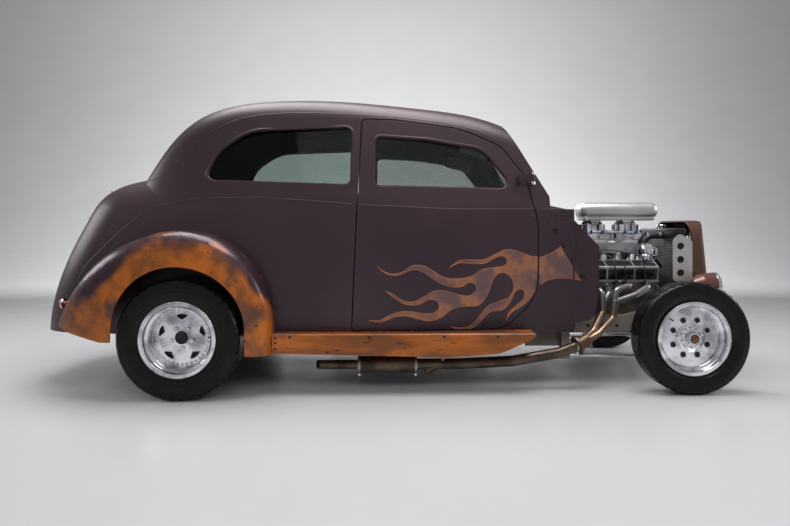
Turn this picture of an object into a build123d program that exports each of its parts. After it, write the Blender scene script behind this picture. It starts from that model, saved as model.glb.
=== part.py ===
from build123d import *
from math import cos, radians, sin
import os

# Hot rod: a mid-1930s style two-door sedan body on a bare frame, open V8, no front fenders.
# +X points to the nose, +Y to the car's left, +Z up. The origin is on the ground under the
# middle of the car. Stations are distances ahead of the rear axle, in millimetres.

# Driving sizes
wheel_base = 2845.0
rear_overhang = 975.0
front_overhang = 425.0
overall_length = rear_overhang + wheel_base + front_overhang
rear_axle_x = rear_overhang - overall_length / 2
front_axle_station = wheel_base

# Wheels and tyres
front_tyre_radius = 315.0
front_tyre_width = 165.0
front_wheel_y = 691.0
front_rim_width = 127.0
rear_tyre_radius = 332.5
rear_tyre_width = 245.0
rear_wheel_y = 722.0
rear_rim_width = 229.0
lip_radius = 208.0
bead_radius = 190.5
barrel_radius = 172.0
rim_wall = 6.0

# Body
wall = 50.0
roof_wall = 30.0
door_gap = 6.0
body_bottom = 320.0
belt_height = 1065.0
floor_height = 395.0
floor_thick = 8.0
firewall_station = 2236.0

# Frame
rail_outer_y = 380.0
rail_width = 50.0
rail_inner_y = rail_outer_y - rail_width
rod_mount_y = 432.0


def at(station):
    """X of a station ahead of the rear axle."""
    return rear_axle_x + station


def pair(piece):
    """The piece and its mirror image on the other side of the car."""
    return piece + mirror(piece, Plane.XZ)


def left_of(piece):
    return mirror(piece, Plane.XZ)


def outline(points, radii):
    """Closed flat face with rounded corners, from points in order."""
    return make_face(FilletPolyline(*points, radius=radii, close=True).edges())


def side_block(points, radii, y_low, y_high):
    """Side outline of (station, height) points, extruded across the car."""
    face = outline([(at(s), 0, z) for s, z in points], radii)
    block = extrude(face, amount=y_high - y_low, dir=(0, 1, 0))
    return Pos(0, y_low, 0) * block


def slab(s_low, s_high, y_low, y_high, z_low, z_high):
    """Box between two stations, two sides and two heights."""
    size = (s_high - s_low, y_high - y_low, z_high - z_low)
    middle = (at((s_low + s_high) / 2), (y_low + y_high) / 2, (z_low + z_high) / 2)
    return Pos(*middle) * Box(*size)


def rod(start, end, radius):
    """Round bar between two (station, y, z) points."""
    a = Vector(at(start[0]), start[1], start[2])
    b = Vector(at(end[0]), end[1], end[2])
    along = b - a
    plane = Plane(origin=a, z_dir=along)
    return extrude(plane * Circle(radius), amount=along.length)


def pipe(points, radius, bend):
    """Bent round bar through (station, y, z) points with one bend radius."""
    path = FilletPolyline(*[(at(s), y, z) for s, y, z in points], radius=bend)
    start = Plane(origin=path @ 0, z_dir=path % 0)
    return sweep(start * Circle(radius), path=path)


def turned(points, radii):
    """Revolve a closed (radius, along) outline about Z."""
    face = outline([(r, 0, z) for r, z in points], radii)
    return revolve(face, Axis.Z)


# Body shells: plan outlines stacked upward, and arches stacked along the car
# Columns: height, tail station, then half-widths at tail, middle and front
lower_rows = [
    (body_bottom, -rear_overhang, 455, 645, 520),
    (568, -918, 485, 676, 533),
    (816, -815, 495, 686, 540),
    (belt_height, -680, 480, 668, 532),
]
deck_row = (1313, -520, 440, 625, 505)

# Belt crease, where the outer skin of the lower body ends: station, height, corner radius
crease_rows = [
    (2400, 1046, 0), (1500, 1046, 900), (958, 1070, 900), (454, 1111, 500), (60, 1109, 400),
    (-190, belt_height, 200), (-1100, belt_height, 0), (-1100, 1400, 0), (2400, 1400, 0),
]
middle_station = 955
middle_height = 900
tail_bulge = 60
tail_radius = 270

# Columns: station, half-width at belt, half-width and height of the shoulder, crown height
roof_rows = [
    (2130, 548, 440, 1440, 1470),
    (1810, 590, 485, 1560, 1600),
    (1490, 622, 510, 1632, 1676),
    (1170, 645, 528, 1662, 1715),
    (850, 655, 537, 1685, 1742),
    (530, 648, 538, 1688, 1747),
    (210, 620, 528, 1655, 1722),
    (-110, 574, 490, 1498, 1572),
    (-430, 505, 405, 1130, 1185),
]
roof_base = 1040
shoulder_radius = 150
crown_radius = 2000

# Columns: height, tail station, then half-widths at tail, middle and front
trunk_rows = [
    (985, -731, 478, 541, 588),
    (1045, -694, 476, 539, 586),
    (1105, -655, 458, 522, 572),
    (1165, -590, 412, 492, 548),
    (1225, -435, 330, 440, 510),
]
trunk_front = 0
trunk_radius = 245

# Columns: station, half-width, shoulder half-width, shoulder height, crown height
cowl_rows = [
    (1960, 592, 560, 1095, 1140),
    (firewall_station, 530, 498, 1040, 1082),
]
cowl_base = 1000
cowl_shoulder = 40

# Windscreen plane, seen from the side, from its base to its top
screen_base = (2089, 1120)
screen_top = (1859, 1504)


def plan_wire(z, tail, tail_half, middle, middle_half, front, front_half, radius):
    """Plan outline with bowed sides and a rounded tail."""
    right = [(front, -front_half), (middle, -middle_half), (tail + tail_bulge, -tail_half)]
    a, b, c = [(at(s), y, z) for s, y in right]
    f, e, d = [(at(s), -y, z) for s, y in right]
    back = ThreePointArc(c, (at(tail), 0, z), d)
    face = make_face(Curve() + [ThreePointArc(a, b, c), back, ThreePointArc(d, e, f), Line(f, a)])
    corners = [v for v in face.vertices() if v.X < at(tail + 2 * tail_bulge)]
    return face.face().fillet_2d(radius, corners).outer_wire()


def lower_loft(inset):
    """Lower body up to the belt crease; an inset copy stops under the belt deck."""
    deck = roof_wall if inset else 0
    rows = lower_rows if inset else lower_rows + [deck_row]
    wires = [
        plan_wire(z - deck * (z > middle_height), tail + inset, tail_half - inset / 2, middle_station,
                  middle - inset, firewall_station - inset, front - inset, tail_radius - inset)
        for z, tail, tail_half, middle, front in rows
    ]
    loft = Solid.make_loft(wires)
    if inset:
        return loft
    points = [(s, z) for s, z, radius in crease_rows]
    return loft - side_block(points, [radius for s, z, radius in crease_rows], -900, 900)


def arch_wire(station, half, base, shoulder, shoulder_z, crown, radius, inset, drop):
    points = [
        (at(station), -(half - inset), base),
        (at(station), -(shoulder - inset), shoulder_z - drop),
        (at(station), 0, crown - drop),
        (at(station), shoulder - inset, shoulder_z - drop),
        (at(station), half - inset, base),
    ]
    radii = [0, radius, crown_radius, radius, 0]
    return Wire(FilletPolyline(*points, radius=radii, close=True).edges())


def roof_loft(inset, drop):
    base = roof_base - (15 if inset else 0)
    wires = [
        arch_wire(station, half, base, shoulder, shoulder_z, crown, shoulder_radius - drop, inset,
                  drop * (1.0 if station > 0 else 1.6))
        for station, half, shoulder, shoulder_z, crown in roof_rows
    ]
    loft = Solid.make_loft(wires)
    base_s, base_z = screen_base
    top_s, top_z = screen_top
    slope = (base_s - top_s) / (top_z - base_z)
    ahead = 600
    cutter = [
        (base_s - inset, roof_base - 100),
        (base_s - inset, base_z),
        (top_s - inset - slope * ahead, top_z + ahead),
        (base_s + ahead, top_z + ahead),
        (base_s + ahead, roof_base - 100),
    ]
    return loft - side_block(cutter, 0, -900, 900)


def trunk_loft(inset):
    wires = [
        plan_wire(z - inset / 2, tail + inset, tail_half - inset / 2, tail / 2, middle - inset,
                  trunk_front, front - inset, trunk_radius - inset / 2)
        for z, tail, tail_half, middle, front in trunk_rows
    ]
    return Solid.make_loft(wires)


def cowl_loft(inset, drop):
    wires = [
        arch_wire(station - inset, half, cowl_base + (25 if inset else 0), shoulder, shoulder_z, crown,
                  cowl_shoulder, inset, drop)
        for station, half, shoulder, shoulder_z, crown in cowl_rows
    ]
    return Solid.make_loft(wires)


def body_solid():
    return Part() + lower_loft(0) + roof_loft(0, 0) + trunk_loft(0) + cowl_loft(0, 0)


def cabin_space(inset, drop):
    """The hollow inside the walls, as overlapping solids."""
    return [lower_loft(inset), roof_loft(inset, drop), trunk_loft(inset), cowl_loft(inset, drop)]


def cut_all(piece, cutters):
    for cutter in cutters:
        piece = piece - cutter
    return piece


# Door and window outlines seen from the right: station, height, corner radius
door_rows = [
    (1170, 1568, 300), (985, 1570, 25), (930, 352, 20), (1800, 352, 190), (2004, 520, 260),
    (2008, 960, 500), (1948, 1230, 150), (1800, 1420, 180), (1560, 1520, 500),
]
door_window_rows = [
    (1054, 1176, 35), (1056, 1470, 40), (1360, 1452, 500), (1690, 1400, 140), (1890, 1160, 45),
]
quarter_rows = [
    (72, 1209, 40), (145, 1380, 250), (330, 1500, 300), (930, 1522, 45), (922, 1180, 35),
]
glass_thick = 5.0
glass_inset = 26.0


def side_prism(rows, grow=0.0):
    """Side outline cut right through the right half of the car, optionally grown."""
    points = [(at(s), z) for s, z, r in rows]
    face = make_face(FilletPolyline(*points, radius=[r for s, z, r in rows], close=True).edges())
    if grow:
        face = offset(face, amount=grow)
    return extrude(Plane.XZ * face, amount=1000)


# Windscreen: a flat pane across the slanted front of the cabin
screen_half = 440.0
screen_edge = 45.0
base_point = Vector(at(screen_base[0]), 0, screen_base[1])
top_point = Vector(at(screen_top[0]), 0, screen_top[1])
screen_length = (top_point - base_point).length
screen_plane = Plane(
    origin=(base_point + top_point) / 2, x_dir=(0, 1, 0),
    z_dir=(top_point - base_point).cross(Vector(0, -1, 0)),
)


def screen_face(grow):
    low, high = -screen_length / 2 + screen_edge - grow, screen_length / 2 - screen_edge + grow
    half = screen_half + grow
    points = [(-half, low), (half, low), (half - 55, high), (-half + 55, high)]
    return make_face(FilletPolyline(*points, radius=45 + grow / 2, close=True).edges())


def screen_hole():
    return extrude(screen_plane * screen_face(0), amount=150, both=True)


def windscreen():
    return extrude(screen_plane.offset(-glass_inset) * screen_face(-seat_gap), amount=-glass_thick)


# Rear window, cut through the sloping back of the roof
rear_window_half = 270.0
rear_window_low = 1330.0
rear_window_high = 1480.0


def rear_window_prism(grow):
    low, high = rear_window_low - grow, rear_window_high + grow
    half = rear_window_half + grow
    face = outline([(at(-700), -half, low), (at(-700), half, low), (at(-700), half, high),
                    (at(-700), -half, high)], 60 + grow)
    return extrude(face, amount=900, dir=(1, 0, 0))


# Wheel houses
house_radius = 395.0
house_inner_y = 585.0
house_skin = 10.0
house_outer_y = 640.0
lid_wall = 25.0


def wheel_house(radius, y_inner):
    drum = Rot(90, 0, 0) * Cylinder(radius, 400)
    return Pos(at(0), -(y_inner + 200), rear_tyre_radius) * drum


# Boot lid outline seen from behind: y, height; it hinges at its top edge
lid_half = 330.0
lid_low = 470.0
lid_high = 1150.0
lid_front = -500.0


def lid_prism(grow):
    half, low, high = lid_half + grow, lid_low - grow, lid_high + grow
    x = at(-1400)
    face = outline([(x, -half, low), (x, half, low), (x, half, high), (x, -half, high)], 70 + grow)
    return extrude(face, amount=1400 + lid_front, dir=(1, 0, 0))


def make_body():
    """Body shell, doors and boot lid, all cut from one hollow body."""
    outer = body_solid()
    spaces = cabin_space(wall, roof_wall)
    door = cut_all(outer & side_prism(door_rows), spaces) - side_prism(door_window_rows)
    lid = cut_all(outer & lid_prism(0), [lower_loft(lid_wall), trunk_loft(lid_wall)])
    shell = outer
    opening = side_prism(door_rows, door_gap)
    quarter = side_prism(quarter_rows)
    for cutter in (opening, quarter):
        shell = shell - cutter - left_of(cutter)
    shell = shell - lid_prism(door_gap) - screen_hole() - rear_window_prism(0)
    shell = cut_all(shell, spaces)
    house = wheel_house(house_radius + house_skin, house_inner_y - house_skin)
    house = house & slab(-600, 600, -house_outer_y, 0, rear_tyre_radius, 900) & lower_loft(0)
    shell = shell + house + left_of(house)
    well = wheel_house(house_radius, house_inner_y) + slab(-90, 90, -house_inner_y - 10, -550, 200, 470)
    shell = shell - well - left_of(well)
    rail_notch = slab(2100, 2300, -rod_mount_y - 3, -rail_inner_y + 3, 0, floor_height)
    shell = shell - rail_notch - left_of(rail_notch)
    shell -= slab(2100, 2300, -tunnel_half - 10, tunnel_half + 10, 0, tunnel_top + 10)
    return shell, door, lid


def bay_panels():
    panel = side_block(
        [(firewall_station, 985), (2387, 827), (2384, 577), (2358, 392), (firewall_station, 372)],
        [5, 25, 60, 60, 5], -525, -505,
    )
    return pair(panel)


# Floor with its tunnel, inside the walls
kick_station = 660.0
rear_floor_height = 515.0
tunnel_half = 190.0
tunnel_top = 620.0
shaft_tunnel_half = 75.0
shaft_tunnel_top = 470.0
tunnel_station = 1500.0
seat_gap = 0.3


def floor_pan():
    front_end = firewall_station - wall
    t = floor_thick
    low, high = floor_height, rear_floor_height
    pan = slab(kick_station, front_end, -700, 700, low, low + t)
    pan += slab(kick_station, kick_station + t, -700, 700, low, high + t)
    pan += slab(-900, kick_station + t, -700, 700, high, high + t)
    pan += slab(tunnel_station, front_end, -tunnel_half, tunnel_half, low, tunnel_top)
    pan += slab(kick_station, tunnel_station, -shaft_tunnel_half, shaft_tunnel_half, low, shaft_tunnel_top)
    pan -= slab(tunnel_station + t, front_end, -tunnel_half + t, tunnel_half - t, 0, tunnel_top - t)
    pan -= slab(kick_station - 10, tunnel_station + 20, -shaft_tunnel_half + t, shaft_tunnel_half - t, 0,
                shaft_tunnel_top - t)
    pan = pan & lower_loft(wall + seat_gap)
    house = wheel_house(house_radius + house_skin + seat_gap, house_inner_y - house_skin - seat_gap)
    return pan - house - left_of(house)


# Rear fenders
fender_y = 882.0
fender_skin = 14.0
opening_radius = 358.0
opening_centre = 371.0


def fender_block(inset):
    """Pontoon fender: side outline crossed with plan outline, its crown rounded."""
    n = inset
    points = [(at(s), 0, z) for s, z in [
        (-735 + n, 200), (-735 + n, 391), (-569 + n * 0.7, 650 - n * 0.7), (-176, 892 - n), (0, 921 - n),
        (176, 890 - n), (396 - n * 0.7, 702 - n * 0.7), (486 - n, 440), (490 - n, 200),
    ]]
    a, b, c, d, e, f, g, h, i = points
    arcs = [ThreePointArc(b, c, d), ThreePointArc(d, e, f), ThreePointArc(f, g, h)]
    side = make_face(Curve() + [Line(a, b)] + arcs + [Line(h, i), Line(i, a)])
    side = Pos(0, -460, 0) * extrude(side, amount=500, dir=(0, -1, 0))
    p, q, r = (at(-760 + n), -640, 0), (at(-40), -(fender_y - n), 0), (at(500 - n), -(765 - n), 0)
    s, t = (at(500 - n), -400, 0), (at(-760 + n), -400, 0)
    plan = make_face(Curve() + [ThreePointArc(p, q, r), Line(r, s), Line(s, t), Line(t, p)])
    block = side & extrude(plan, amount=1200, dir=(0, 0, 1))
    crown = [edge for edge in block.edges() if edge.center().Y < -600 and edge.center().Z > 480]
    return fillet(crown, 95 - n)


def rear_fender(body):
    fender = fender_block(0) - fender_block(fender_skin)
    fender = fender & slab(-800, 600, -900, -500, 100, 1000)
    gate = Pos(at(0), -700, opening_centre) * Rot(90, 0, 0) * Cylinder(opening_radius, 800)
    gate += slab(-opening_radius, opening_radius, -1000, -500, 100, opening_centre)
    fender = fender - gate
    fender -= side_block([(-900, 100), (600, 100), (600, 235), (400, 235), (-350, 320), (-420, 318),
                          (-640, 357), (-740, 398), (-900, 420)], 0, -1000, -400)
    fender = fender - body
    return biggest(fender)


def biggest(piece):
    return sorted(piece.solids(), key=lambda s: s.volume)[-1]


def rocker_panels():
    """Boards under the doors: side outline crossed with a rounded section."""
    side = side_block(
        [(490.3, 400), (1960, 400), (1960, 318), (1764, 232), (1482, 212), (490.3, 236)],
        [5, 5, 40, 200, 400, 5], -760, -590,
    )
    section = cross_block([(-725, 190), (-725, 345), (-600, 345), (-600, 190)], [40, 14, 2, 2], 400, 2000)
    return side & section


# Bolt holes for a bumper bracket near the front end of each rail
bumper_holes = (2985, 3020)
bumper_hole_z = 378.0
bumper_hole_radius = 6.0


def frame():
    top = floor_height - seat_gap
    rail = side_block(
        [(-700, 470), (-330, 505), (330, 505), (640, top), (2590, top), (2730, 425), (3040, 425),
         (3040, 345), (2720, 345), (2570, 275), (700, 275), (390, 420), (-330, 420), (-700, 400)],
        [5, 120, 150, 150, 100, 100, 5, 30, 100, 100, 120, 120, 100, 5], -rail_outer_y, -rail_inner_y,
    )
    hanger = slab(600, 640, -450, -rail_outer_y, 359.3, 392)
    shackle = slab(-640, -600, -450, -rail_outer_y, 359.3, 440)
    rod_mount = slab(2190, 2240, -rod_mount_y, -rail_outer_y, 140, 392)
    side = rail + hanger + shackle + rod_mount
    for station in bumper_holes:
        side -= rod((station, -rail_outer_y - 5, bumper_hole_z), (station, -rail_inner_y + 5, bumper_hole_z),
                    bumper_hole_radius)
    crosses = [(2822, 2885, 345, 385), (1500, 1560, 275, 325), (560, 620, 285, 335), (-700, -640, 410, 460)]
    whole = side + left_of(side)
    for s_low, s_high, z_low, z_high in crosses:
        whole += slab(s_low, s_high, -rail_inner_y - 1, rail_inner_y + 1, z_low, z_high)
    return whole


# Engine
block_rear = 2310.0
block_front = 2815.0
crank_z = 460.0
pump_z = 620.0
hose_station = 2834.0
hose_y = -100.0
hose_foot = 700.0
hose_top = 885.0
radiator_half = 267.0
shaft_radius = 8.0
running_gap = 0.05


def cross_block(points, radii, s_low, s_high):
    """Front outline of (y, z) points, extruded along the car."""
    face = outline([(at(s_low), y, z) for y, z in points], radii)
    return extrude(face, amount=s_high - s_low, dir=(1, 0, 0))


head_rows = [(-100, 300), (-165, 345), (-172, 470), (-300, 520), (-325, 598), (-205, 690), (-110, 600)]


def engine():
    rows = head_rows + [(-y, z) for y, z in reversed(head_rows)]
    block = cross_block(rows, 8, block_rear, block_front)
    block += slab(2310, 2590, -100, 100, 215, 310)
    block += rod((block_rear, 0, 430), (2150, 0, 430), 150)
    block += cross_block([(-100, 330), (100, 330), (70, 520), (-70, 520)], 20, 1650, 2160)
    block += rod((1660, 0, 410), (1560, 0, 410), 48)
    block += rod((block_front, 0, pump_z), (2870, 0, pump_z), 45)
    block += rod((block_front, 0, pump_z), (2925, 0, pump_z), shaft_radius)
    block += slab(block_front - 5, hose_station + 20, hose_y - 20, hose_y + 20, 560, 680)
    block += rod((hose_station, hose_y, 670), (hose_station, hose_y, hose_foot), 18)
    return block


def valve_covers():
    cover = cross_block([(-325.2, 598.3), (-340, 692), (-240, 738), (-209.2, 687.2)], [4, 14, 16, 4],
                        block_rear + 40, block_front + 15)
    return pair(cover)


def intake_manifold():
    base = cross_block([(-109, 600.5), (-150, 648), (-60, 690), (60, 690), (150, 648), (109, 600.5)],
                       4, 2370, 2770)
    plenum = slab(2440, 2800, -90, 90, 770, 838)
    manifold = base + plenum
    for station in (2465, 2570, 2675, 2780):
        for side in (-1, 1):
            foot = (station * 0.85 + 2570 * 0.15, side * 105, 660)
            manifold += rod(foot, (station, side * 55, 790), 27)
    return manifold


def carburettors():
    whole = Part()
    for station in (2520, 2745):
        body = slab(station - 85, station + 85, -75, 75, 838.3, 905)
        for ds in (-42, 42):
            for y in (-38, 38):
                body += rod((station + ds, y, 900), (station + ds, y, 960), 34)
        bowl = slab(station - 110, station + 110, -50, 50, 850, 895)
        whole += body + bowl + rod((station, 0, 900), (station, 0, 986), 60)
    return whole


def air_scoop():
    case = slab(2420, 2965, -105, 105, 986.3, 1106)
    long_edges = [e for e in case.edges().filter_by(Axis.X) if e.center().Z > 1000]
    case = fillet(long_edges, 52)
    ends = [e for e in case.edges() if abs(e.center().X - at(2420)) < 1 or abs(e.center().X - at(2965)) < 1]
    ends = [e for e in ends if e.center().Z > 990]
    return fillet(ends, 30)


def belt_drive():
    face = Plane(origin=(at(block_front + 12), 0, (crank_z + pump_z) / 2), x_dir=(0, 0, 1), z_dir=(1, 0, 0))
    loop = face * SlotCenterToCenter(pump_z - crank_z, 132)
    belt = extrude(loop, amount=26)
    belt += rod((block_front + 0.3, 0, crank_z), (block_front + 55, 0, crank_z), 72)
    belt -= rod((block_front - 5, 0, pump_z), (2880, 0, pump_z), 45.5)
    return belt


def fan():
    hub = rod((2885, 0, pump_z), (2930, 0, pump_z), 30)
    wheel = hub
    for i in range(6):
        angle = i * 60
        blade = Pos(0, 0, 108) * Rot(0, 0, 25) * Box(3, 62, 165)
        wheel += Pos(at(2912), 0, pump_z) * Rot(angle, 0, 0) * blade
    wheel -= rod((2880, 0, pump_z), (2925.5, 0, pump_z), shaft_radius + running_gap)
    return wheel


tube_radius = 20.0


def headers():
    rear_tube = pipe([(2400, -318, 560), (2428, -455, 555), (2428, -470, 430), (2340, -560, 330),
                      (2250, -600, 262)], tube_radius, 38)
    rear_branch = pipe([(2520, -318, 560), (2478, -440, 535), (2428, -465, 470)], tube_radius, 30)
    front_tube = pipe([(2640, -318, 565), (2600, -450, 585), (2500, -485, 560), (2482, -500, 400),
                       (2370, -575, 320), (2255, -605, 262)], tube_radius, 38)
    front_branch = pipe([(2760, -318, 575), (2720, -430, 575), (2620, -475, 530), (2485, -495, 490)],
                        tube_radius, 38)
    collector = rod((2300, -585, 287), (2232, -603, 252), 38)
    header = rear_tube + rear_branch + front_tube + front_branch + collector
    header += rod((2240, -601, 256), (2228, -604, 250), 58)
    return header


def exhausts():
    """Side pipes with a dump outlet ahead of the muffler and a turned-out tail, both open at the tip."""
    line = pipe([(2227.6, -604, 249.8), (2126, -604, 212), (1984, -604, 188), (1854, -604, 165),
                 (1571, -604, 152), (1285, -604, 149)], 31, 60)
    muffler = rod((1290, -604, 149), (970, -604, 149), 48)
    tail = pipe([(975, -604, 149), (800, -604, 150), (735, -640, 158)], 26, 40)
    tail -= rod((774, -618.4, 153.2), (722, -647.2, 159.6), 22)
    dump = rod((1425, -604, 152), (1345, -616, 112), 27)
    dump -= rod((1377, -611.2, 128), (1329, -618.4, 104), 23)
    return line + muffler + tail + dump


def radiator():
    core = slab(2965, 3030, -radiator_half, radiator_half, 430, 930)
    top_edges = [e for e in core.edges() if e.center().Z > 925]
    core = fillet(top_edges, 18)
    neck = rod((2970, hose_y, hose_top), (2945, hose_y, hose_top), 22)
    foot = slab(2970, 3020, -330, 330, 425.3, 445)
    return core + neck + foot


def radiator_brackets():
    """Side plates with three holes, from the core to the grille shell."""
    front = shell_rear - seat_gap
    plate = side_block([(2948, 600), (front, 588), (front, 850), (2985, 905), (2948, 850)],
                       [20, 3, 3, 30, 30], -radiator_half - 8, -radiator_half - seat_gap)
    for z in (650, 735, 820):
        plate -= rod((2996, -300, z), (2996, -200, z), 23)
    return pair(plate)


def radiator_hose():
    return pipe([(2944.7, hose_y, hose_top), (hose_station, hose_y, hose_top),
                 (hose_station, hose_y, hose_foot + 0.3)], 21, 60)


# Grille shell: leaning plan outline crossed with a side and a front outline
shell_rear = 3071.0
shell_low = 430.0
shell_high = 985.0
shell_nose = overall_length - rear_overhang
shell_lean = 56.0
shell_skin = 9.0


def shell_block(inset, open_end):
    """Solid of the grille shell, inset by the skin; the open end runs on past the rear and bottom."""
    n, low, rear = inset, shell_low - open_end, shell_rear - open_end
    rise = shell_high - low
    foot = shell_nose + shell_lean * open_end / (shell_high - shell_low) - n
    plan = outline(
        [(at(rear), -276 + n, low), (at(foot - 76), -266 + n, low), (at(foot), -40, low),
         (at(foot), 40, low),
         (at(foot - 76), 266 - n, low), (at(rear), 276 - n, low)],
        [0, 55 - n, 90 - n, 90 - n, 55 - n, 0],
    )
    lean = shell_lean * rise / (shell_high - shell_low)
    plan = extrude(plan, amount=Vector(-lean, 0, rise).length, dir=Vector(-lean, 0, rise))
    side = side_block(
        [(rear, low), (foot + 20, low), (foot + 20 - lean, shell_high - n), (rear, shell_high - n)],
        [0, 0, 120 - n, 0], -300, 300,
    )
    front = cross_block(
        [(-225 + n, low), (-274 + n, 660), (-262 + n, shell_high - n), (262 - n, shell_high - n),
         (274 - n, 660),
         (225 - n, low)],
        [0, 300, 120 - n, 120 - n, 300, 0], rear, shell_nose + 60,
    )
    return plan & side & front


def grille_hole(grow):
    low, high, half = 480 - grow, 890 + grow, 165 + grow
    face = outline([(at(3100), -half + 35, low), (at(3100), half - 35, low), (at(3100), half, high),
                    (at(3100), -half, high)], 60 + grow / 2)
    return extrude(face, amount=400, dir=(1, 0, 0))


def grille_shell():
    return shell_block(0, 0) - shell_block(shell_skin, 40) - grille_hole(0)


def grille_bars():
    layer = shell_block(shell_skin + seat_gap, 0) - shell_block(shell_skin + 8, 40)
    rim = (layer & grille_hole(14)) - grille_hole(-6)
    bars = Part()
    for i in range(-7, 8):
        bars += slab(3090, 3300, i * 23 - 3, i * 23 + 3, 440, 950)
    bars = layer & bars & grille_hole(4)
    return biggest(rim + bars)


def headlights():
    profile = [(0, -100), (40, -88), (70, -35), (78, 35), (78, 46), (54, 56), (0, 60)]
    lamp = turned(profile, [0, 30, 30, 0, 4, 10, 0])
    lamp = Pos(at(3083), -415, 584) * Rot(0, 90, 0) * lamp
    stalk = pipe([(3005, -355, 425.3), (3005, -355, 470), (3055, -415, 540)], 13, 30)
    return lamp + stalk


def tail_lamp(fender):
    """Bullet lamp on a stem that ends on the fender's tail."""
    lamp = Pos(at(-742), -600, 505) * scale(Sphere(34), (0.7, 0.7, 1.4))
    stem = rod((-735, -600, 505), (-600, -600, 505), 12)
    return biggest(lamp + stem - fender)


# Rear axle, springs and shaft
stub_radius = 25.0
shaft_nose = (1560, 0, 410)
shaft_tail = (175, 0, 350)


def rear_axle():
    z = rear_tyre_radius
    axle = rod((0, -603, z), (0, 603, z), 38)
    axle += rod((0, -85, z), (0, 85, z), 130)
    axle += rod((100, 0, shaft_tail[2] - 3), shaft_tail, 60)
    plate = rod((0, -622, z), (0, -600, z), 120)
    axle += pair(plate) + rod((0, -727, z), (0, 727, z), stub_radius)
    return axle


def driveshaft():
    return rod((shaft_nose[0] - 1.7, 0, shaft_nose[2]), (shaft_tail[0] + 0.3, 0, shaft_tail[2]), 30)


def rear_springs():
    a, b, c = (at(-640), -400, 330), (at(0), -400, 262), (at(640), -400, 330)
    d, e, f = (at(640), -400, 359), (at(0), -400, 290), (at(-640), -400, 359)
    face = make_face(Curve() + [ThreePointArc(a, b, c), Line(c, d), ThreePointArc(d, e, f), Line(f, a)])
    leaf = extrude(face, amount=50, dir=(0, -1, 0))
    seat = slab(-45, 45, -450, -400, 280, 300)
    seat -= rod((0, -500, rear_tyre_radius), (0, -300, rear_tyre_radius), 38.3)
    return leaf + seat


def fuel_tank():
    half = rail_inner_y - seat_gap
    tank = slab(-600, -340, -half, half, 285, 440)
    return fillet(tank.edges().filter_by(Axis.Y), 35)


# Front axle and steering
kingpin_y = 600.0
kingpin_radius = 11.0
boss_radius = 24.0
front_z = front_tyre_radius
arm_reach = 150.0
arm_y = 575.0


def front_axle():
    half = [(-590, 340), (-500, 332), (-440, 255)]
    low = [(-455, 205), (-520, 285), (-590, 290)]
    rows = half + [(-y, z) for y, z in reversed(half)]
    rows += [(-y, z) for y, z in reversed(low)] + low
    beam = cross_block(rows, 6, front_axle_station - 25, front_axle_station + 25)
    kingpin = (front_axle_station, -kingpin_y)
    boss = rod((*kingpin, 285), (*kingpin, 345), boss_radius)
    beam = beam + boss + left_of(boss)
    bore = rod((*kingpin, 200), (*kingpin, 400), kingpin_radius + running_gap)
    return beam - bore - left_of(bore)


def knuckle():
    s = front_axle_station
    piece = rod((s, -kingpin_y, 258), (s, -kingpin_y, 370), kingpin_radius)
    for z_low, z_high in ((258, 278), (352, 370)):
        piece += slab(s - 22, s + 22, -641, -585, z_low, z_high)
    piece += slab(s - 30, s + 30, -641, -629, 258, 370)
    piece += rod((s, -646, front_z), (s, -640, front_z), 118)
    piece += rod((s, -640, front_z), (s, -front_wheel_y, front_z), 20)
    piece += slab(s - arm_reach - 15, s, -arm_y - 15, -arm_y + 15, 258, 274)
    return piece


def tie_rod():
    s = front_axle_station - arm_reach
    bar = rod((s, -arm_y - 12, 240), (s, arm_y + 12, 240), 9)
    for y in (-arm_y, arm_y):
        bar += rod((s, y, 226), (s, y, 257.7), 10)
    return bar


def radius_rods():
    upper = rod((2240.3, -415, 287), (2800, -415, 287), 10)
    lower = rod((2240.3, -415, 157), (2800, -415, 157), 10)
    wing = slab(2770, front_axle_station - 25.3, -422, -408, 145, 299)
    return upper + lower + wing


def front_spring():
    s = front_axle_station
    a, b, c = (at(s), -415, 290), (at(s), 0, 344), (at(s), 415, 290)
    d, e, f = (at(s), 415, 266), (at(s), 0, 318), (at(s), -415, 266)
    face = make_face(Curve() + [ThreePointArc(a, b, c), Line(c, d), ThreePointArc(d, e, f), Line(f, a)])
    leaf = Pos(-22, 0, 0) * extrude(face, amount=44, dir=(1, 0, 0))
    perch = slab(s - 22, s + 22, -412, -392, 255.3, 275)
    return leaf + perch + left_of(perch)


# Wheels: turned about Z, then laid on their side; +Z becomes the outboard side
def place_wheel(piece, station, y, z):
    return Pos(at(station), -y, z) * Rot(90, 0, 0) * piece


def rim_barrel(width):
    half = width / 2
    w = rim_wall
    rows = [
        (lip_radius, half), (lip_radius, half - 8), (bead_radius, half - 8), (bead_radius, half - 32),
        (barrel_radius, half - 48), (barrel_radius, -half + 48), (bead_radius, -half + 32),
        (bead_radius, -half + 8), (lip_radius, -half + 8), (lip_radius, -half),
        (bead_radius - w, -half), (bead_radius - w, -half + 30), (barrel_radius - w, -half + 46),
        (barrel_radius - w, half - 46), (bead_radius - w, half - 30), (bead_radius - w, half),
    ]
    return turned(rows, [3, 0, 4, 0, 8, 8, 0, 4, 0, 3, 3, 8, 8, 8, 8, 5])


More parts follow.
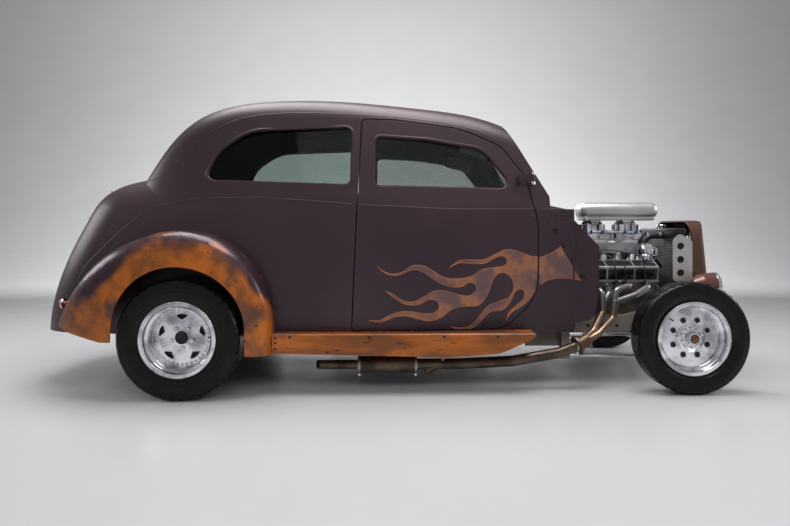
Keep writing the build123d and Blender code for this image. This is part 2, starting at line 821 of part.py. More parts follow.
def front_rim():
    face = front_rim_width / 2 - 56
    disc = Pos(0, 0, face - 6) * Cylinder(barrel_radius - rim_wall + 3, 12)
    for i in range(8):
        angle = radians(22.5 + 45 * i)
        disc -= Pos(105 * cos(angle), 105 * sin(angle), face - 6) * Cylinder(15.5, 30)
    hub = Pos(0, 0, -10) * Cylinder(62, 30) + Pos(0, 0, face + 4) * Cylinder(62, 10)
    cap = Pos(0, 0, face + 28) * Cylinder(33, 50)
    drum = Pos(0, 0, -22) * Cylinder(128, 36)
    rim = rim_barrel(front_rim_width) + disc + hub + cap + drum
    return rim - Pos(0, 0, -30) * Cylinder(20 + running_gap, 62)


def rear_rim():
    face = rear_rim_width / 2 - 93
    disc = Pos(0, 0, face - 6) * Cylinder(barrel_radius - rim_wall + 3, 12)
    window = outline([(98, 0, 0), (122, 36, 0), (133, 0, 0), (122, -36, 0)], [8, 6, 60, 6])
    window = Pos(0, 0, face - 40) * extrude(window, amount=60, dir=(0, 0, 1))
    for i in range(5):
        disc -= Rot(0, 0, 90 + 72 * i) * window
    hub = Pos(0, 0, face - 32) * Cylinder(72, 44) + Pos(0, 0, face - 70) * Cylinder(135, 60)
    ring = Pos(0, 0, face + 4) * Cylinder(44, 10) - Pos(0, 0, face) * Cylinder(37, 30)
    rim = rim_barrel(rear_rim_width) + disc + hub
    rim = rim - Pos(0, 0, face) * Cylinder(37, 16) + ring
    for i in range(5):
        angle = radians(54 + 72 * i)
        rim += Pos(57 * cos(angle), 57 * sin(angle), face + 9) * Cylinder(10, 18)
    return rim - Pos(0, 0, face - 64) * Cylinder(stub_radius + running_gap, 100)


def tyre(radius, width, rim_width):
    half = width / 2
    seat = rim_width / 2 - 8.3
    rows = [
        (bead_radius + 0.1, -seat), (lip_radius + 8, -seat), (radius * 0.8, -half), (radius - 26, -half + 8),
        (radius, -half + 26), (radius, half - 26), (radius - 26, half - 8), (radius * 0.8, half),
        (lip_radius + 8, seat), (bead_radius + 0.1, seat), (bead_radius + 0.1, seat - 20),
        (bead_radius + 30, seat - 26), (bead_radius + 30, -seat + 26), (bead_radius + 0.1, -seat + 20),
    ]
    return turned(rows, [6, 10, 25, 12, 12, 12, 12, 25, 10, 6, 5, 5, 5, 5])


# Glass panes sit in their window holes
def pane(rows, station, y_low, y_high, yaw):
    """Flat pane leaning with the body side, from height 1180 to 1520."""
    lean = Vector(0, y_high - y_low, 340)
    ahead = Vector(cos(radians(yaw)), sin(radians(yaw)), 0)
    plane = Plane(origin=(at(station), (y_low + y_high) / 2, 1350), x_dir=ahead, z_dir=ahead.cross(lean))
    sheet = extrude(plane * Rectangle(1400, 700), amount=glass_thick)
    return side_prism(rows, -seat_gap) & sheet


def side_glass():
    quarter = pane(quarter_rows, 500, -587, -532, -2.24)
    sheet = side_block([(-325, 1280), (-126, 1520), (-131, 1520), (-330, 1280)], 0, -400, 400)
    return quarter, sheet & rear_window_prism(-seat_gap)


def seats():
    front = side_block(
        [(1040, 403.3), (1480, 403.3), (1500, 620), (1120, 590), (1000, 1110), (900, 1100)],
        [10, 20, 50, 60, 40, 40], -500, 500)
    front -= slab(800, 1600, -shaft_tunnel_half - 5, shaft_tunnel_half + 5, 0, shaft_tunnel_top + 5)
    back = side_block(
        [(-150, 523.3), (470, 523.3), (480, 730), (60, 700), (-60, 1110), (-150, 1100)],
        [10, 10, 50, 60, 40, 40], -488, 488)
    return front + back


def dashboard():
    outline_rows = [(1985, 930), (2060, 930), (2060, 1025), (1960, 1025)]
    board = side_block(outline_rows, [20, 10, 10, 30], -600, 600)
    inside = slab(1900, 2030, -500, 500, 900, 1100) + slab(2025, 2100, -700, 700, 900, 1100)
    return board & inside & lower_loft(wall + seat_gap)


wheel_foot = (2195, 330, 779.7)
wheel_top = (1740, 330, 985)


def steering_column():
    """Column from the firewall to the wheel, with its bracket under the dashboard."""
    column = rod(wheel_foot, wheel_top, 18) + slab(2000, 2030, 318, 342, 865, 932)
    return column & slab(1700, firewall_station - wall - seat_gap, 200, 450, 700, 1100)


def steering_wheel():
    a = Vector(at(wheel_foot[0]), wheel_foot[1], wheel_foot[2])
    b = Vector(at(wheel_top[0]), wheel_top[1], wheel_top[2])
    axis = (b - a).normalized()
    plane = Plane(origin=b + axis * 20.3, z_dir=axis)
    ring = plane.location * Torus(180, 12)
    hub = plane.location * Cylinder(30, 40)
    spokes = plane.location * Box(360, 20, 6)
    spokes += plane.location * Pos(0, 90, 0) * Box(20, 180, 6)
    return ring + hub + spokes


# Door hinge: one exposed hinge high on the front edge of each door
hinge_station = 1978.0
hinge_y = 596.0
hinge_z = 1225.0
pin_radius = 5.0


def hinge_body_leaf():
    leaf = Part()
    for z_low, z_high in ((1188, 1204), (1246, 1262)):
        leaf += rod((hinge_station, -hinge_y, z_low), (hinge_station, -hinge_y, z_high), 10)
        leaf += slab(hinge_station, hinge_station + 12, -hinge_y, -500, z_low, z_high)
    leaf += rod((hinge_station, -hinge_y, 1186), (hinge_station, -hinge_y, 1264), pin_radius)
    return leaf


def hinge_door_leaf():
    leaf = rod((hinge_station, -hinge_y, 1206), (hinge_station, -hinge_y, 1244), 10)
    leaf += slab(hinge_station - 80, hinge_station - 4, -hinge_y - 3, -hinge_y + 3, 1206, 1244)
    leaf += slab(hinge_station - 80, hinge_station - 68, -hinge_y, -500, 1206, 1244)
    bore = rod((hinge_station, -hinge_y, 1150), (hinge_station, -hinge_y, 1300), pin_radius + running_gap)
    return leaf - bore


# Boot lid hinges: two small barrels on one pin line above the lid's top edge
lid_hinge_station = -612.5
lid_hinge_z = 1163.4
lid_hinge_y = 200.0
lid_pin_radius = 4.0
lid_barrel_radius = 8.0


def lid_rod(y_low, y_high, radius):
    return rod((lid_hinge_station, y_low, lid_hinge_z), (lid_hinge_station, y_high, lid_hinge_z), radius)


def lid_hinge_body():
    y = lid_hinge_y
    leaf = lid_rod(y - 16, y + 16, lid_pin_radius)
    for side in (-1, 1):
        leaf += lid_rod(y + side * 12.5 - 3.5, y + side * 12.5 + 3.5, lid_barrel_radius)
        leaf += rod((lid_hinge_station, y + side * 12.5, lid_hinge_z), (-540, y + side * 12.5, 1182), 3.5)
    return leaf


def lid_hinge_lid():
    y = lid_hinge_y
    leaf = lid_rod(y - 8, y + 8, lid_barrel_radius)
    leaf += rod((lid_hinge_station, y, lid_hinge_z), (-652, y, 1105), 6)
    return leaf - lid_rod(y - 20, y + 20, lid_pin_radius + running_gap)


def main():
    shell, door, lid = make_body()
    door_leaf = hinge_door_leaf()
    body_leaf = hinge_body_leaf()
    skin = body_solid()
    right_door = biggest(door + (door_leaf - skin))
    lid_leaf = biggest(lid_hinge_lid() - skin)
    lid = lid + lid_leaf + left_of(lid_leaf)
    glass = pane(door_window_rows, 1490, -571, -506, 4.9)
    fender = rear_fender(skin)
    rim_front, rim_rear = front_rim(), rear_rim()
    tyre_front = tyre(front_tyre_radius, front_tyre_width, front_rim_width)
    tyre_rear = tyre(rear_tyre_radius, rear_tyre_width, rear_rim_width)
    quarter, rear_glass = side_glass()
    right_knuckle = knuckle()
    power = engine()
    header = biggest(headers() - power)
    exhaust = biggest(exhausts() - header)
    column = steering_column()
    pieces = {
        "frame": frame(),
        "body_shell": shell,
        "bay_panels": bay_panels(),
        "floor_pan": floor_pan(),
        "rocker_panels": pair(rocker_panels() - skin),
        "boot_lid": lid,
        "rear_fender_right": fender,
        "rear_fender_left": left_of(fender),
        "door_right": right_door,
        "door_left": left_of(right_door),
        "door_hinges": pair(body_leaf - skin),
        "boot_hinges": pair(biggest(lid_hinge_body() - skin)),
        "door_glass_right": glass,
        "door_glass_left": left_of(glass),
        "fixed_glass": Compound([quarter, left_of(quarter), rear_glass, windscreen()]),
        "dashboard": dashboard() + column,
        "steering_wheel": steering_wheel(),
        "seats": seats(),
        "engine": power,
        "valve_covers": valve_covers(),
        "intake_manifold": intake_manifold(),
        "carburettors": carburettors(),
        "air_scoop": air_scoop(),
        "belt_drive": belt_drive(),
        "fan": fan(),
        "headers": pair(header),
        "exhausts": pair(exhaust),
        "radiator": Compound([radiator()] + list(radiator_brackets().solids())),
        "radiator_hose": radiator_hose(),
        "grille_shell": grille_shell(),
        "grille_bars": grille_bars(),
        "headlights": pair(headlights()),
        "tail_lamps": pair(tail_lamp(fender)),
        "rear_axle": Compound([rear_axle(), driveshaft()]),
        "leaf_springs": Compound([front_spring()] + list(pair(rear_springs()).solids())),
        "fuel_tank": fuel_tank(),
        "front_axle": front_axle(),
        "radius_rods": pair(radius_rods()),
        "knuckle_right": right_knuckle,
        "knuckle_left": left_of(right_knuckle),
        "tie_rod": tie_rod(),
    }
    for end, station, y, z, rim, rubber in (
        ("front", front_axle_station, front_wheel_y, front_tyre_radius, rim_front, tyre_front),
        ("rear", 0.0, rear_wheel_y, rear_tyre_radius, rim_rear, tyre_rear),
    ):
        for kind, piece in (("wheel", rim), ("tyre", rubber)):
            placed = place_wheel(piece, station, y, z)
            pieces[kind + "_" + end + "_right"] = placed
            pieces[kind + "_" + end + "_left"] = left_of(placed)
    os.makedirs("parts", exist_ok=True)
    for name, piece in pieces.items():
        export_step(piece, "parts/" + name + ".step")


main()
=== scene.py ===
import math

import bpy
from mathutils import Matrix, Vector


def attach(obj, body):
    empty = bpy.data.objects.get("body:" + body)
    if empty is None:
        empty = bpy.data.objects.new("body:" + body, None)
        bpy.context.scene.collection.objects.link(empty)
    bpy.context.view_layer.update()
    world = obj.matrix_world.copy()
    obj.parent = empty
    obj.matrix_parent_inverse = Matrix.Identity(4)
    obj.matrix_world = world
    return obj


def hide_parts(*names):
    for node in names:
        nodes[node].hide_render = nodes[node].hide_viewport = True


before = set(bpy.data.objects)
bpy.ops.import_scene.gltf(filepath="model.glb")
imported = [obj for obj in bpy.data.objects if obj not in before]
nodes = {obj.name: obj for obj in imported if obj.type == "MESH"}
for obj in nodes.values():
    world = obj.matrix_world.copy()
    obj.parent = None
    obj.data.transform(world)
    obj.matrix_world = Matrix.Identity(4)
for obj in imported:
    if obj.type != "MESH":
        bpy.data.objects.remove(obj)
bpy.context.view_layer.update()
mm = 0.001


# Picking and placing
def toEdit():
    bpy.ops.object.mode_set(mode="EDIT")


def toObject():
    bpy.ops.object.mode_set(mode="OBJECT")


def dropAll():  # operators act on all that is selected
    if bpy.context.mode != "OBJECT":
        toObject()
    bpy.ops.object.select_all(action="DESELECT")


def pick(*pieces):
    dropAll()
    for piece in pieces:
        piece.select_set(True)
    bpy.context.view_layer.objects.active = pieces[0]


def pickPoints(piece):  # leaves the piece in edit mode with all of it picked
    pick(piece)
    toEdit()
    bpy.ops.mesh.select_mode(type="VERT")
    bpy.ops.mesh.select_all(action="SELECT")


def pickFaces(piece, wanted):  # leaves the piece in edit mode with the wanted faces picked
    pick(piece)
    toEdit()
    bpy.ops.mesh.select_mode(type="FACE")
    bpy.ops.mesh.select_all(action="DESELECT")
    toObject()
    for face in piece.data.polygons:
        face.select = bool(wanted(face.center, face.normal))
    toEdit()


def extrude(x, y, z):
    bpy.ops.mesh.extrude_region_move(TRANSFORM_OT_translate={"value": (x, y, z)})


def lift(height):  # moves the whole piece in hand out along its normals
    bpy.ops.mesh.select_all(action="SELECT")
    bpy.ops.transform.shrink_fatten(value=height * mm)
    toObject()


def cleanUp(piece):  # doubles first, then the normals
    pick(piece)
    toEdit()
    bpy.ops.mesh.select_all(action="SELECT")
    bpy.ops.mesh.remove_doubles(threshold=0.00002)
    bpy.ops.mesh.normals_make_consistent(inside=False)
    toObject()


def lay(piece, centre, toward=(0, 0, 1)):  # stands the piece's Z along toward and moves it to centre
    pick(piece)
    piece.rotation_euler = Vector(toward).to_track_quat("Z", "Y").to_euler()
    piece.location = Vector(centre) * mm
    bpy.ops.object.transform_apply(location=True, rotation=True, scale=True)
    return piece


def twin(piece, matrix):  # a copy with its own mesh, placed by a matrix
    other = piece.copy()
    other.data = piece.data.copy()
    bpy.context.collection.objects.link(other)
    other.data.transform(matrix)
    if matrix.determinant() < 0:
        other.data.flip_normals()
    return other


def moved(x, y, z):
    return Matrix.Translation(Vector((x, y, z)) * mm)


def turnedAbout(centre, angle, axis):
    middle = Vector(centre) * mm
    turn = Matrix.Rotation(math.radians(angle), 4, axis)
    return Matrix.Translation(middle) @ turn @ Matrix.Translation(-middle)


def across():
    return Matrix.Scale(-1, 4, Vector((0, 1, 0)))


def gather(pieces):
    pick(*pieces)
    if len(pieces) > 1:
        bpy.ops.object.join()
    return bpy.context.view_layer.objects.active


def ringOf(piece, count, centre, axis, start=0):
    piece.data.transform(turnedAbout(centre, start, axis))
    copies = [twin(piece, turnedAbout(centre, 360 * i / count, axis)) for i in range(1, count)]
    return gather([piece] + copies)


def dress(piece, name, finish, body="car", angle=35):
    pick(piece)
    bpy.ops.object.transform_apply(location=True, rotation=True, scale=True)
    bpy.ops.object.shade_smooth_by_angle(angle=math.radians(angle))
    piece.name = name
    piece.data.name = name
    piece.data.materials.clear()
    piece.data.materials.append(finish[0])
    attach(piece, body)
    return piece


def dressPair(piece, name, finish, bodies=("car", "car"), angle=35):  # right and left
    other = twin(piece, across())
    dress(piece, name + "_right", finish, bodies[0], angle)
    dress(other, name + "_left", finish, bodies[1], angle)


# Shapes, in millimetres
def turnPiece(profile, steps=32, closed=False):  # profile rows are radius and height
    dropAll()
    radius, height = profile[0]
    bpy.ops.mesh.primitive_circle_add(vertices=steps, radius=radius * mm, location=(0, 0, height * mm),
                                      fill_type="NOTHING")
    piece = bpy.context.object
    pickPoints(piece)
    for nextRadius, nextHeight in profile[1:] + ([profile[0]] if closed else []):
        extrude(0, 0, (nextHeight - height) * mm)
        grow = nextRadius / radius
        bpy.ops.transform.resize(value=(grow, grow, 1), center_override=(0, 0, 0))
        radius, height = nextRadius, nextHeight
    toObject()
    bpy.ops.object.transform_apply(location=True, rotation=True, scale=True)
    cleanUp(piece)
    return piece


def block(low, high, edge=1.0, rounds=2):
    dropAll()
    low, high = Vector(low) * mm, Vector(high) * mm
    bpy.ops.mesh.primitive_cube_add(size=1, location=(low + high) / 2)
    piece = bpy.context.object
    piece.scale = high - low
    bpy.ops.object.transform_apply(location=True, rotation=True, scale=True)
    toEdit()
    bpy.ops.mesh.select_all(action="SELECT")
    bpy.ops.mesh.bevel(offset=edge * mm, segments=rounds, affect="EDGES")
    toObject()
    return piece


def line(points, sharp=(), closed=False, steps=10):  # a smooth curve; the listed points are sharp
    dropAll()
    bpy.ops.curve.primitive_bezier_curve_add()
    piece = bpy.context.object
    data = piece.data
    data.splines.clear()
    run = data.splines.new("BEZIER")
    run.bezier_points.add(len(points) - 1)
    for i, (spot, place) in enumerate(zip(run.bezier_points, points)):
        spot.co = Vector(place) * mm
        kind = "VECTOR" if i in sharp else "AUTO"
        spot.handle_left_type = spot.handle_right_type = kind
    run.use_cyclic_u = closed
    data.dimensions = "3D"
    data.resolution_u = steps
    return piece


def asMesh():  # the curve in hand, made mesh
    bpy.ops.object.convert(target="MESH")
    return bpy.context.object


def roundBar(piece, radius, rounds, caps):  # gives a curve a round section
    piece.data.bevel_depth = radius * mm
    piece.data.bevel_resolution = rounds
    piece.data.use_fill_caps = caps
    return asMesh()


def tube(points, radius, sharp=(), closed=False, steps=10, rounds=3):
    return roundBar(line(points, sharp, closed, steps), radius, rounds, True)


def asTube(piece, radius, rounds=2, caps=False):  # a run of edges, made a round bar
    pick(piece)
    bpy.ops.object.convert(target="CURVE")
    return roundBar(bpy.context.object, radius, rounds, caps)


def hexNut(width, height):  # standing on Z 0, its face chamfered
    dropAll()
    bpy.ops.mesh.primitive_cylinder_add(vertices=6, radius=width * 0.577 * mm, depth=height * mm,
                                        location=(0, 0, height * mm / 2))
    piece = bpy.context.object
    bpy.ops.object.transform_apply(location=True, rotation=True, scale=True)
    pickFaces(piece, lambda centre, normal: normal.z > 0.9)
    bpy.ops.mesh.inset(thickness=width * 0.06 * mm, depth=width * 0.05 * mm)
    toObject()
    return piece


def roundBolt(radius, height):  # a domed head on a washer
    return turnPiece([(radius * 1.35, 0), (radius * 1.35, height * 0.22), (radius, height * 0.24),
                      (radius, height * 0.62), (radius * 0.85, height * 0.86), (radius * 0.5, height),
                      (radius * 0.05, height * 1.04)], 16)


def copyOf(node):  # a merged copy of a CAD solid
    piece = nodes[node].copy()
    piece.data = nodes[node].data.copy()
    piece.parent = None
    for key in list(piece.keys()):
        del piece[key]
    bpy.context.collection.objects.link(piece)
    cleanUp(piece)
    return piece


def useModifier(piece, kind, **values):
    pick(piece)
    change = piece.modifiers.new(kind.title(), kind)
    for key, value in values.items():
        setattr(change, key, value)
    bpy.ops.object.modifier_apply(modifier=change.name)


# Shader groups
def tint(red, green, blue):  # screen values from 0 to 255
    return tuple(((c / 255 + 0.055) / 1.055) ** 2.4 for c in (red, green, blue)) + (1.0,)


def startGroup(name, inputs, outputs):
    group = bpy.data.node_groups.new(name, "ShaderNodeTree")
    kinds = {"f": "NodeSocketFloat", "c": "NodeSocketColor", "v": "NodeSocketVector"}
    for label, kind, value in inputs:
        socket = group.interface.new_socket(label, in_out="INPUT", socket_type=kinds[kind])
        if value is not None:
            socket.default_value = value
    for label, kind in outputs:
        group.interface.new_socket(label, in_out="OUTPUT", socket_type=kinds[kind])
    return group, group.nodes.new("NodeGroupInput"), group.nodes.new("NodeGroupOutput")


def add(tree, kind, inputs=(), **values):  # a node with its settings and its sockets' values or links
    node = tree.nodes.new(kind)
    for key, value in values.items():
        setattr(node, key, value)
    for key, value in inputs:
        if isinstance(value, bpy.types.NodeSocket):
            tree.links.new(value, node.inputs[key])
        else:
            node.inputs[key].default_value = value
    return node


def mixColours(tree, factor, first, second):
    return add(tree, "ShaderNodeMix", [(0, factor), (6, first), (7, second)], data_type="RGBA").outputs[2]


def ramp(tree, value, low, high, toLow=0.0, toHigh=1.0):
    return add(tree, "ShaderNodeMapRange", [("Value", value), ("From Min", low), ("From Max", high),
                                            ("To Min", toLow), ("To Max", toHigh)],
               interpolation_type="SMOOTHSTEP").outputs["Result"]


def noise(tree, where, scale, detail=3.0):
    return add(tree, "ShaderNodeTexNoise", [("Vector", where), ("Scale", scale),
                                            ("Detail", detail)]).outputs["Fac"]


def maths(tree, operation, first, second=0.0):
    return add(tree, "ShaderNodeMath", [(0, first), (1, second)], operation=operation).outputs[0]


def surfaceDetail():  # broad tone patches, fine grain and the roughness that goes with them; on polished metal the patches are painted reflections
    group, come, go = startGroup(
        "surfaceDetail",
        [("Vector", "v", None), ("Colour", "c", None), ("Shade", "c", None), ("Patch Scale", "f", 6.0),
         ("Grain Scale", "f", 300.0), ("Rough Low", "f", 0.3), ("Rough High", "f", 0.5)],
        [("Colour", "c"), ("Roughness", "f"), ("Height", "f")])
    patch = noise(group, come.outputs["Vector"], come.outputs["Patch Scale"], 5.0)
    grain = noise(group, come.outputs["Vector"], come.outputs["Grain Scale"], 2.0)
    spread = ramp(group, patch, 0.38, 0.66)
    colour = mixColours(group, spread, come.outputs["Colour"], come.outputs["Shade"])
    blendOf = maths(group, "ADD", maths(group, "MULTIPLY", patch, 0.7), maths(group, "MULTIPLY", grain, 0.3))
    rough = add(group, "ShaderNodeMapRange", [("Value", blendOf), ("From Min", 0.3), ("From Max", 0.7),
                                              ("To Min", come.outputs["Rough Low"]),
                                              ("To Max", come.outputs["Rough High"])]).outputs["Result"]
    group.links.new(colour, go.inputs["Colour"])
    group.links.new(rough, go.inputs["Roughness"])
    group.links.new(grain, go.inputs["Height"])
    return group


cabinMiddle = (-0.35, 0.0, 0.95)  # in metres


def innerSide():  # 1 on faces that look into the cabin
    group, come, go = startGroup("innerSide", [("Vector", "v", None), ("Normal", "v", None)], [("Mask", "f")])
    fromCentre = add(group, "ShaderNodeVectorMath", [(0, come.outputs["Vector"]), (1, cabinMiddle)],
                     operation="SUBTRACT").outputs[0]
    reach = add(group, "ShaderNodeVectorMath", [(0, fromCentre), (1, (0.3, 1.0, 1.0))],
                operation="MULTIPLY").outputs[0]
    facing = add(group, "ShaderNodeVectorMath", [(0, reach), (1, come.outputs["Normal"])],
                 operation="DOT_PRODUCT").outputs["Value"]
    group.links.new(ramp(group, facing, 0.02, -0.02), go.inputs["Mask"])
    return group


def oldPatina():  # orange-brown primer with dark smudges and worn specks; Cover is how much of it shows
    group, come, go = startGroup(
        "oldPatina", [("Vector", "v", None), ("Cover", "f", 1.0), ("Paint", "c", None), ("Orange", "c", None),
                      ("Umber", "c", None), ("Smudge", "c", None), ("Speck", "c", None)],
        [("Colour", "c"), ("Roughness", "f"), ("Metallic", "f"), ("Height", "f")])
    where = come.outputs["Vector"]
    warp = noise(group, where, 5.0, 6.0)
    cover = ramp(group, maths(group, "ADD", come.outputs["Cover"], maths(group, "MULTIPLY", warp, 1.2)), 0.80,
                 1.22)
    streak = ramp(group, noise(group, where, 9.0, 7.0), 0.36, 0.7)
    orange = mixColours(group, streak, come.outputs["Orange"], come.outputs["Umber"])
    smudge = ramp(group, noise(group, where, 5.5, 5.0), 0.48, 0.68, 0.0, 0.88)
    orange = mixColours(group, smudge, orange, come.outputs["Smudge"])
    speck = ramp(group, noise(group, where, 42.0, 5.0), 0.64, 0.70)
    orange = mixColours(group, speck, orange, come.outputs["Speck"])
    colour = mixColours(group, cover, come.outputs["Paint"], orange)
    grain = noise(group, where, 180.0, 3.0)
    group.links.new(colour, go.inputs["Colour"])
    group.links.new(ramp(group, maths(group, "ADD", maths(group, "MULTIPLY", streak, 0.5),
                                      maths(group, "MULTIPLY", grain, 0.5)), 0.2, 0.8, 0.24, 0.42),
                    go.inputs["Roughness"])
    group.links.new(maths(group, "SUBTRACT", 0.45, maths(group, "MULTIPLY", cover, 0.3)),
                    go.inputs["Metallic"])
    group.links.new(maths(group, "SUBTRACT", maths(group, "MULTIPLY", grain, 0.4), speck),
                    go.inputs["Height"])
    return group


detailGroup = surfaceDetail()
innerGroup = innerSide()
patinaGroup = oldPatina()


def startMaterial(name, **shader):
    material = bpy.data.materials.new(name)
    material.use_nodes = True
    tree = material.node_tree
    bsdf = tree.nodes["Principled BSDF"]
    for key, value in shader.items():
        bsdf.inputs[key.replace("_", " ")].default_value = value
    where = add(tree, "ShaderNodeTexCoord")
    return material, tree, bsdf, where


def bumpFrom(tree, bsdf, height, distance, strength=1.0):
    bump = add(tree, "ShaderNodeBump", [("Height", height), ("Distance", distance * mm),
                                        ("Strength", strength)])
    tree.links.new(bump.outputs["Normal"], bsdf.inputs["Normal"])


def detailNode(tree, place, colour, shade, rough, patch, grain):
    return add(tree, "ShaderNodeGroup", [
        ("Vector", place), ("Colour", tint(*colour)), ("Shade", tint(*shade)), ("Patch Scale", patch),
        ("Grain Scale", grain), ("Rough Low", rough[0]), ("Rough High", rough[1])], node_tree=detailGroup)


def plainFinish(name, slot, colour, shade, rough, patch=6.0, grain=300.0, bump=0.05, **shader):
    material, tree, bsdf, where = startMaterial(name, **shader)
    detail = detailNode(tree, where.outputs["Object"], colour, shade, rough, patch, grain)
    tree.links.new(detail.outputs["Colour"], bsdf.inputs["Base Color"])
    tree.links.new(detail.outputs["Roughness"], bsdf.inputs["Roughness"])
    bumpFrom(tree, bsdf, detail.outputs["Height"], bump)
    return material, slot


print("shader groups ready")

# Paint colours, as screen values
paintTones = {
    "plum": (55, 38, 46), "plumShade": (47, 32, 40), "lining": (16, 15, 16), "liningShade": (30, 28, 29),
    "orange": (170, 92, 28), "umber": (116, 64, 24), "smudge": (66, 50, 46), "speck": (40, 30, 30),
    "flame": (148, 96, 66), "flameDeep": (124, 84, 68), "flameGrey": (88, 68, 72),
    "flameEdge": (176, 100, 50),
}


def plumPaint():  # satin plum outside, black lining inside
    material, tree, bsdf, where = startMaterial("plumPaint", Metallic=0.35, Coat_Weight=0.12,
                                                Coat_Roughness=0.35)
    place = where.outputs["Object"]
    detail = detailNode(tree, place, paintTones["plum"], paintTones["plumShade"], (0.36, 0.46), 1.6, 900.0)
    mask = add(tree, "ShaderNodeGroup", [("Vector", place), ("Normal", where.outputs["Normal"])],
               node_tree=innerGroup).outputs["Mask"]
    weave = noise(tree, place, 700.0, 1.0)
    lining = mixColours(tree, weave, tint(*paintTones["lining"]), tint(*paintTones["liningShade"]))
    tree.links.new(mixColours(tree, mask, detail.outputs["Colour"], lining), bsdf.inputs["Base Color"])
    rough = add(tree, "ShaderNodeMix", [(0, mask), (2, detail.outputs["Roughness"]), (3, 0.92)],
                data_type="FLOAT")
    tree.links.new(rough.outputs[0], bsdf.inputs["Roughness"])
    metal = maths(tree, "MULTIPLY", maths(tree, "SUBTRACT", 1.0, mask), 0.35)
    tree.links.new(metal, bsdf.inputs["Metallic"])
    tree.links.new(maths(tree, "MULTIPLY", metal, 0.35), bsdf.inputs["Coat Weight"])
    height = add(tree, "ShaderNodeMix", [(0, mask), (2, detail.outputs["Height"]), (3, weave)],
                 data_type="FLOAT")
    bumpFrom(tree, bsdf, height.outputs[0], 0.03)
    return material, "plum_paint"


def patinaPaint(name, opening):  # opening is the wheel opening's centre and radii, or None for all over
    material, tree, bsdf, where = startMaterial(name, Coat_Weight=0.22, Coat_Roughness=0.16,
                                                Specular_IOR_Level=0.3)
    place = where.outputs["Object"]
    group = add(tree, "ShaderNodeGroup", node_tree=patinaGroup)
    tree.links.new(place, group.inputs["Vector"])
    for label, key in (("Paint", "plum"), ("Orange", "orange"), ("Umber", "umber"), ("Smudge", "smudge"),
                       ("Speck", "speck")):
        group.inputs[label].default_value = tint(*paintTones[key])
    if opening:
        x, z, near, far = opening
        spot = add(tree, "ShaderNodeVectorMath", [(0, place), (1, (x * mm, 0, z * mm))], operation="SUBTRACT")
        flat = add(tree, "ShaderNodeVectorMath", [(0, spot.outputs[0]), (1, (1, 0, 1))], operation="MULTIPLY")
        reach = add(tree, "ShaderNodeVectorMath", [(0, flat.outputs[0])], operation="LENGTH").outputs["Value"]
        cover = ramp(tree, reach, far * mm, near * mm, 0.18, 0.75)
        height = add(tree, "ShaderNodeSeparateXYZ", [(0, place)]).outputs["Z"]
        lowDown = ramp(tree, height, 0.62, 0.34, 0.0, 0.5)
        tree.links.new(maths(tree, "ADD", cover, lowDown), group.inputs["Cover"])
    else:
        group.inputs["Cover"].default_value = 1.0
        drawn = add(tree, "ShaderNodeVectorMath", [(0, place), (1, (0.35, 1.0, 1.7))], operation="MULTIPLY")
        tree.links.new(drawn.outputs[0], group.inputs["Vector"])
    tree.links.new(group.outputs["Colour"], bsdf.inputs["Base Color"])
    tree.links.new(group.outputs["Roughness"], bsdf.inputs["Roughness"])
    tree.links.new(group.outputs["Metallic"], bsdf.inputs["Metallic"])
    bumpFrom(tree, bsdf, group.outputs["Height"], 0.12)
    return material, "patina_paint"


def flamePaint():
    material, tree, bsdf, where = startMaterial("flamePaint", Metallic=0.25, Coat_Weight=0.1,
                                                Coat_Roughness=0.35)
    place = where.outputs["Object"]
    streak = ramp(tree, noise(tree, place, 22.0, 6.0), 0.36, 0.68)
    colour = mixColours(tree, streak, tint(*paintTones["flame"]), tint(*paintTones["flameDeep"]))
    smudge = ramp(tree, noise(tree, place, 6.5, 4.0), 0.44, 0.62, 0.0, 0.9)
    colour = mixColours(tree, smudge, colour, tint(*paintTones["flameGrey"]))
    tree.links.new(colour, bsdf.inputs["Base Color"])
    tree.links.new(ramp(tree, streak, 0.0, 1.0, 0.36, 0.48), bsdf.inputs["Roughness"])
    bumpFrom(tree, bsdf, noise(tree, place, 600.0, 2.0), 0.03)
    return material, "plum_paint"


def ribbedFinish(name, slot, colour, shade, rough, width, depth, direction, **shader):  # fins or woven ribs; the gaps between them take the darker colour as painted shade
    material, tree, bsdf, where = startMaterial(name, **shader)
    place = where.outputs["Object"]
    bands = math.tau / (40 * width * mm)  # the wave node's scale for ribs and gaps of this width
    wave = add(tree, "ShaderNodeTexWave", [("Vector", place), ("Scale", bands), ("Distortion", 0.0)],
               bands_direction=direction).outputs["Fac"]
    tone = noise(tree, place, 12.0, 4.0)
    # ribs take the colour and the gaps between them the darker colour, as painted shade, varied by random
    # tone
    ribsOverShadedGaps = maths(tree, "MULTIPLY", wave, maths(tree, "ADD", tone, 0.3))
    colour = mixColours(tree, ribsOverShadedGaps, tint(*shade), tint(*colour))
    tree.links.new(colour, bsdf.inputs["Base Color"])
    tree.links.new(ramp(tree, tone, 0.3, 0.7, *rough), bsdf.inputs["Roughness"])
    bumpFrom(tree, bsdf, wave, depth)
    return material, slot


def glass(name, colour):
    material, tree, bsdf, where = startMaterial(name, Metallic=0.0, Transmission_Weight=1.0, IOR=1.18)
    haze = noise(tree, where.outputs["Object"], 3.0, 4.0)
    shade = [c * 0.96 for c in colour]
    tree.links.new(mixColours(tree, haze, tint(*colour), tint(*shade)), bsdf.inputs["Base Color"])
    tree.links.new(ramp(tree, haze, 0.3, 0.8, 0.0, 0.03), bsdf.inputs["Roughness"])
    return material, "clear_glass"


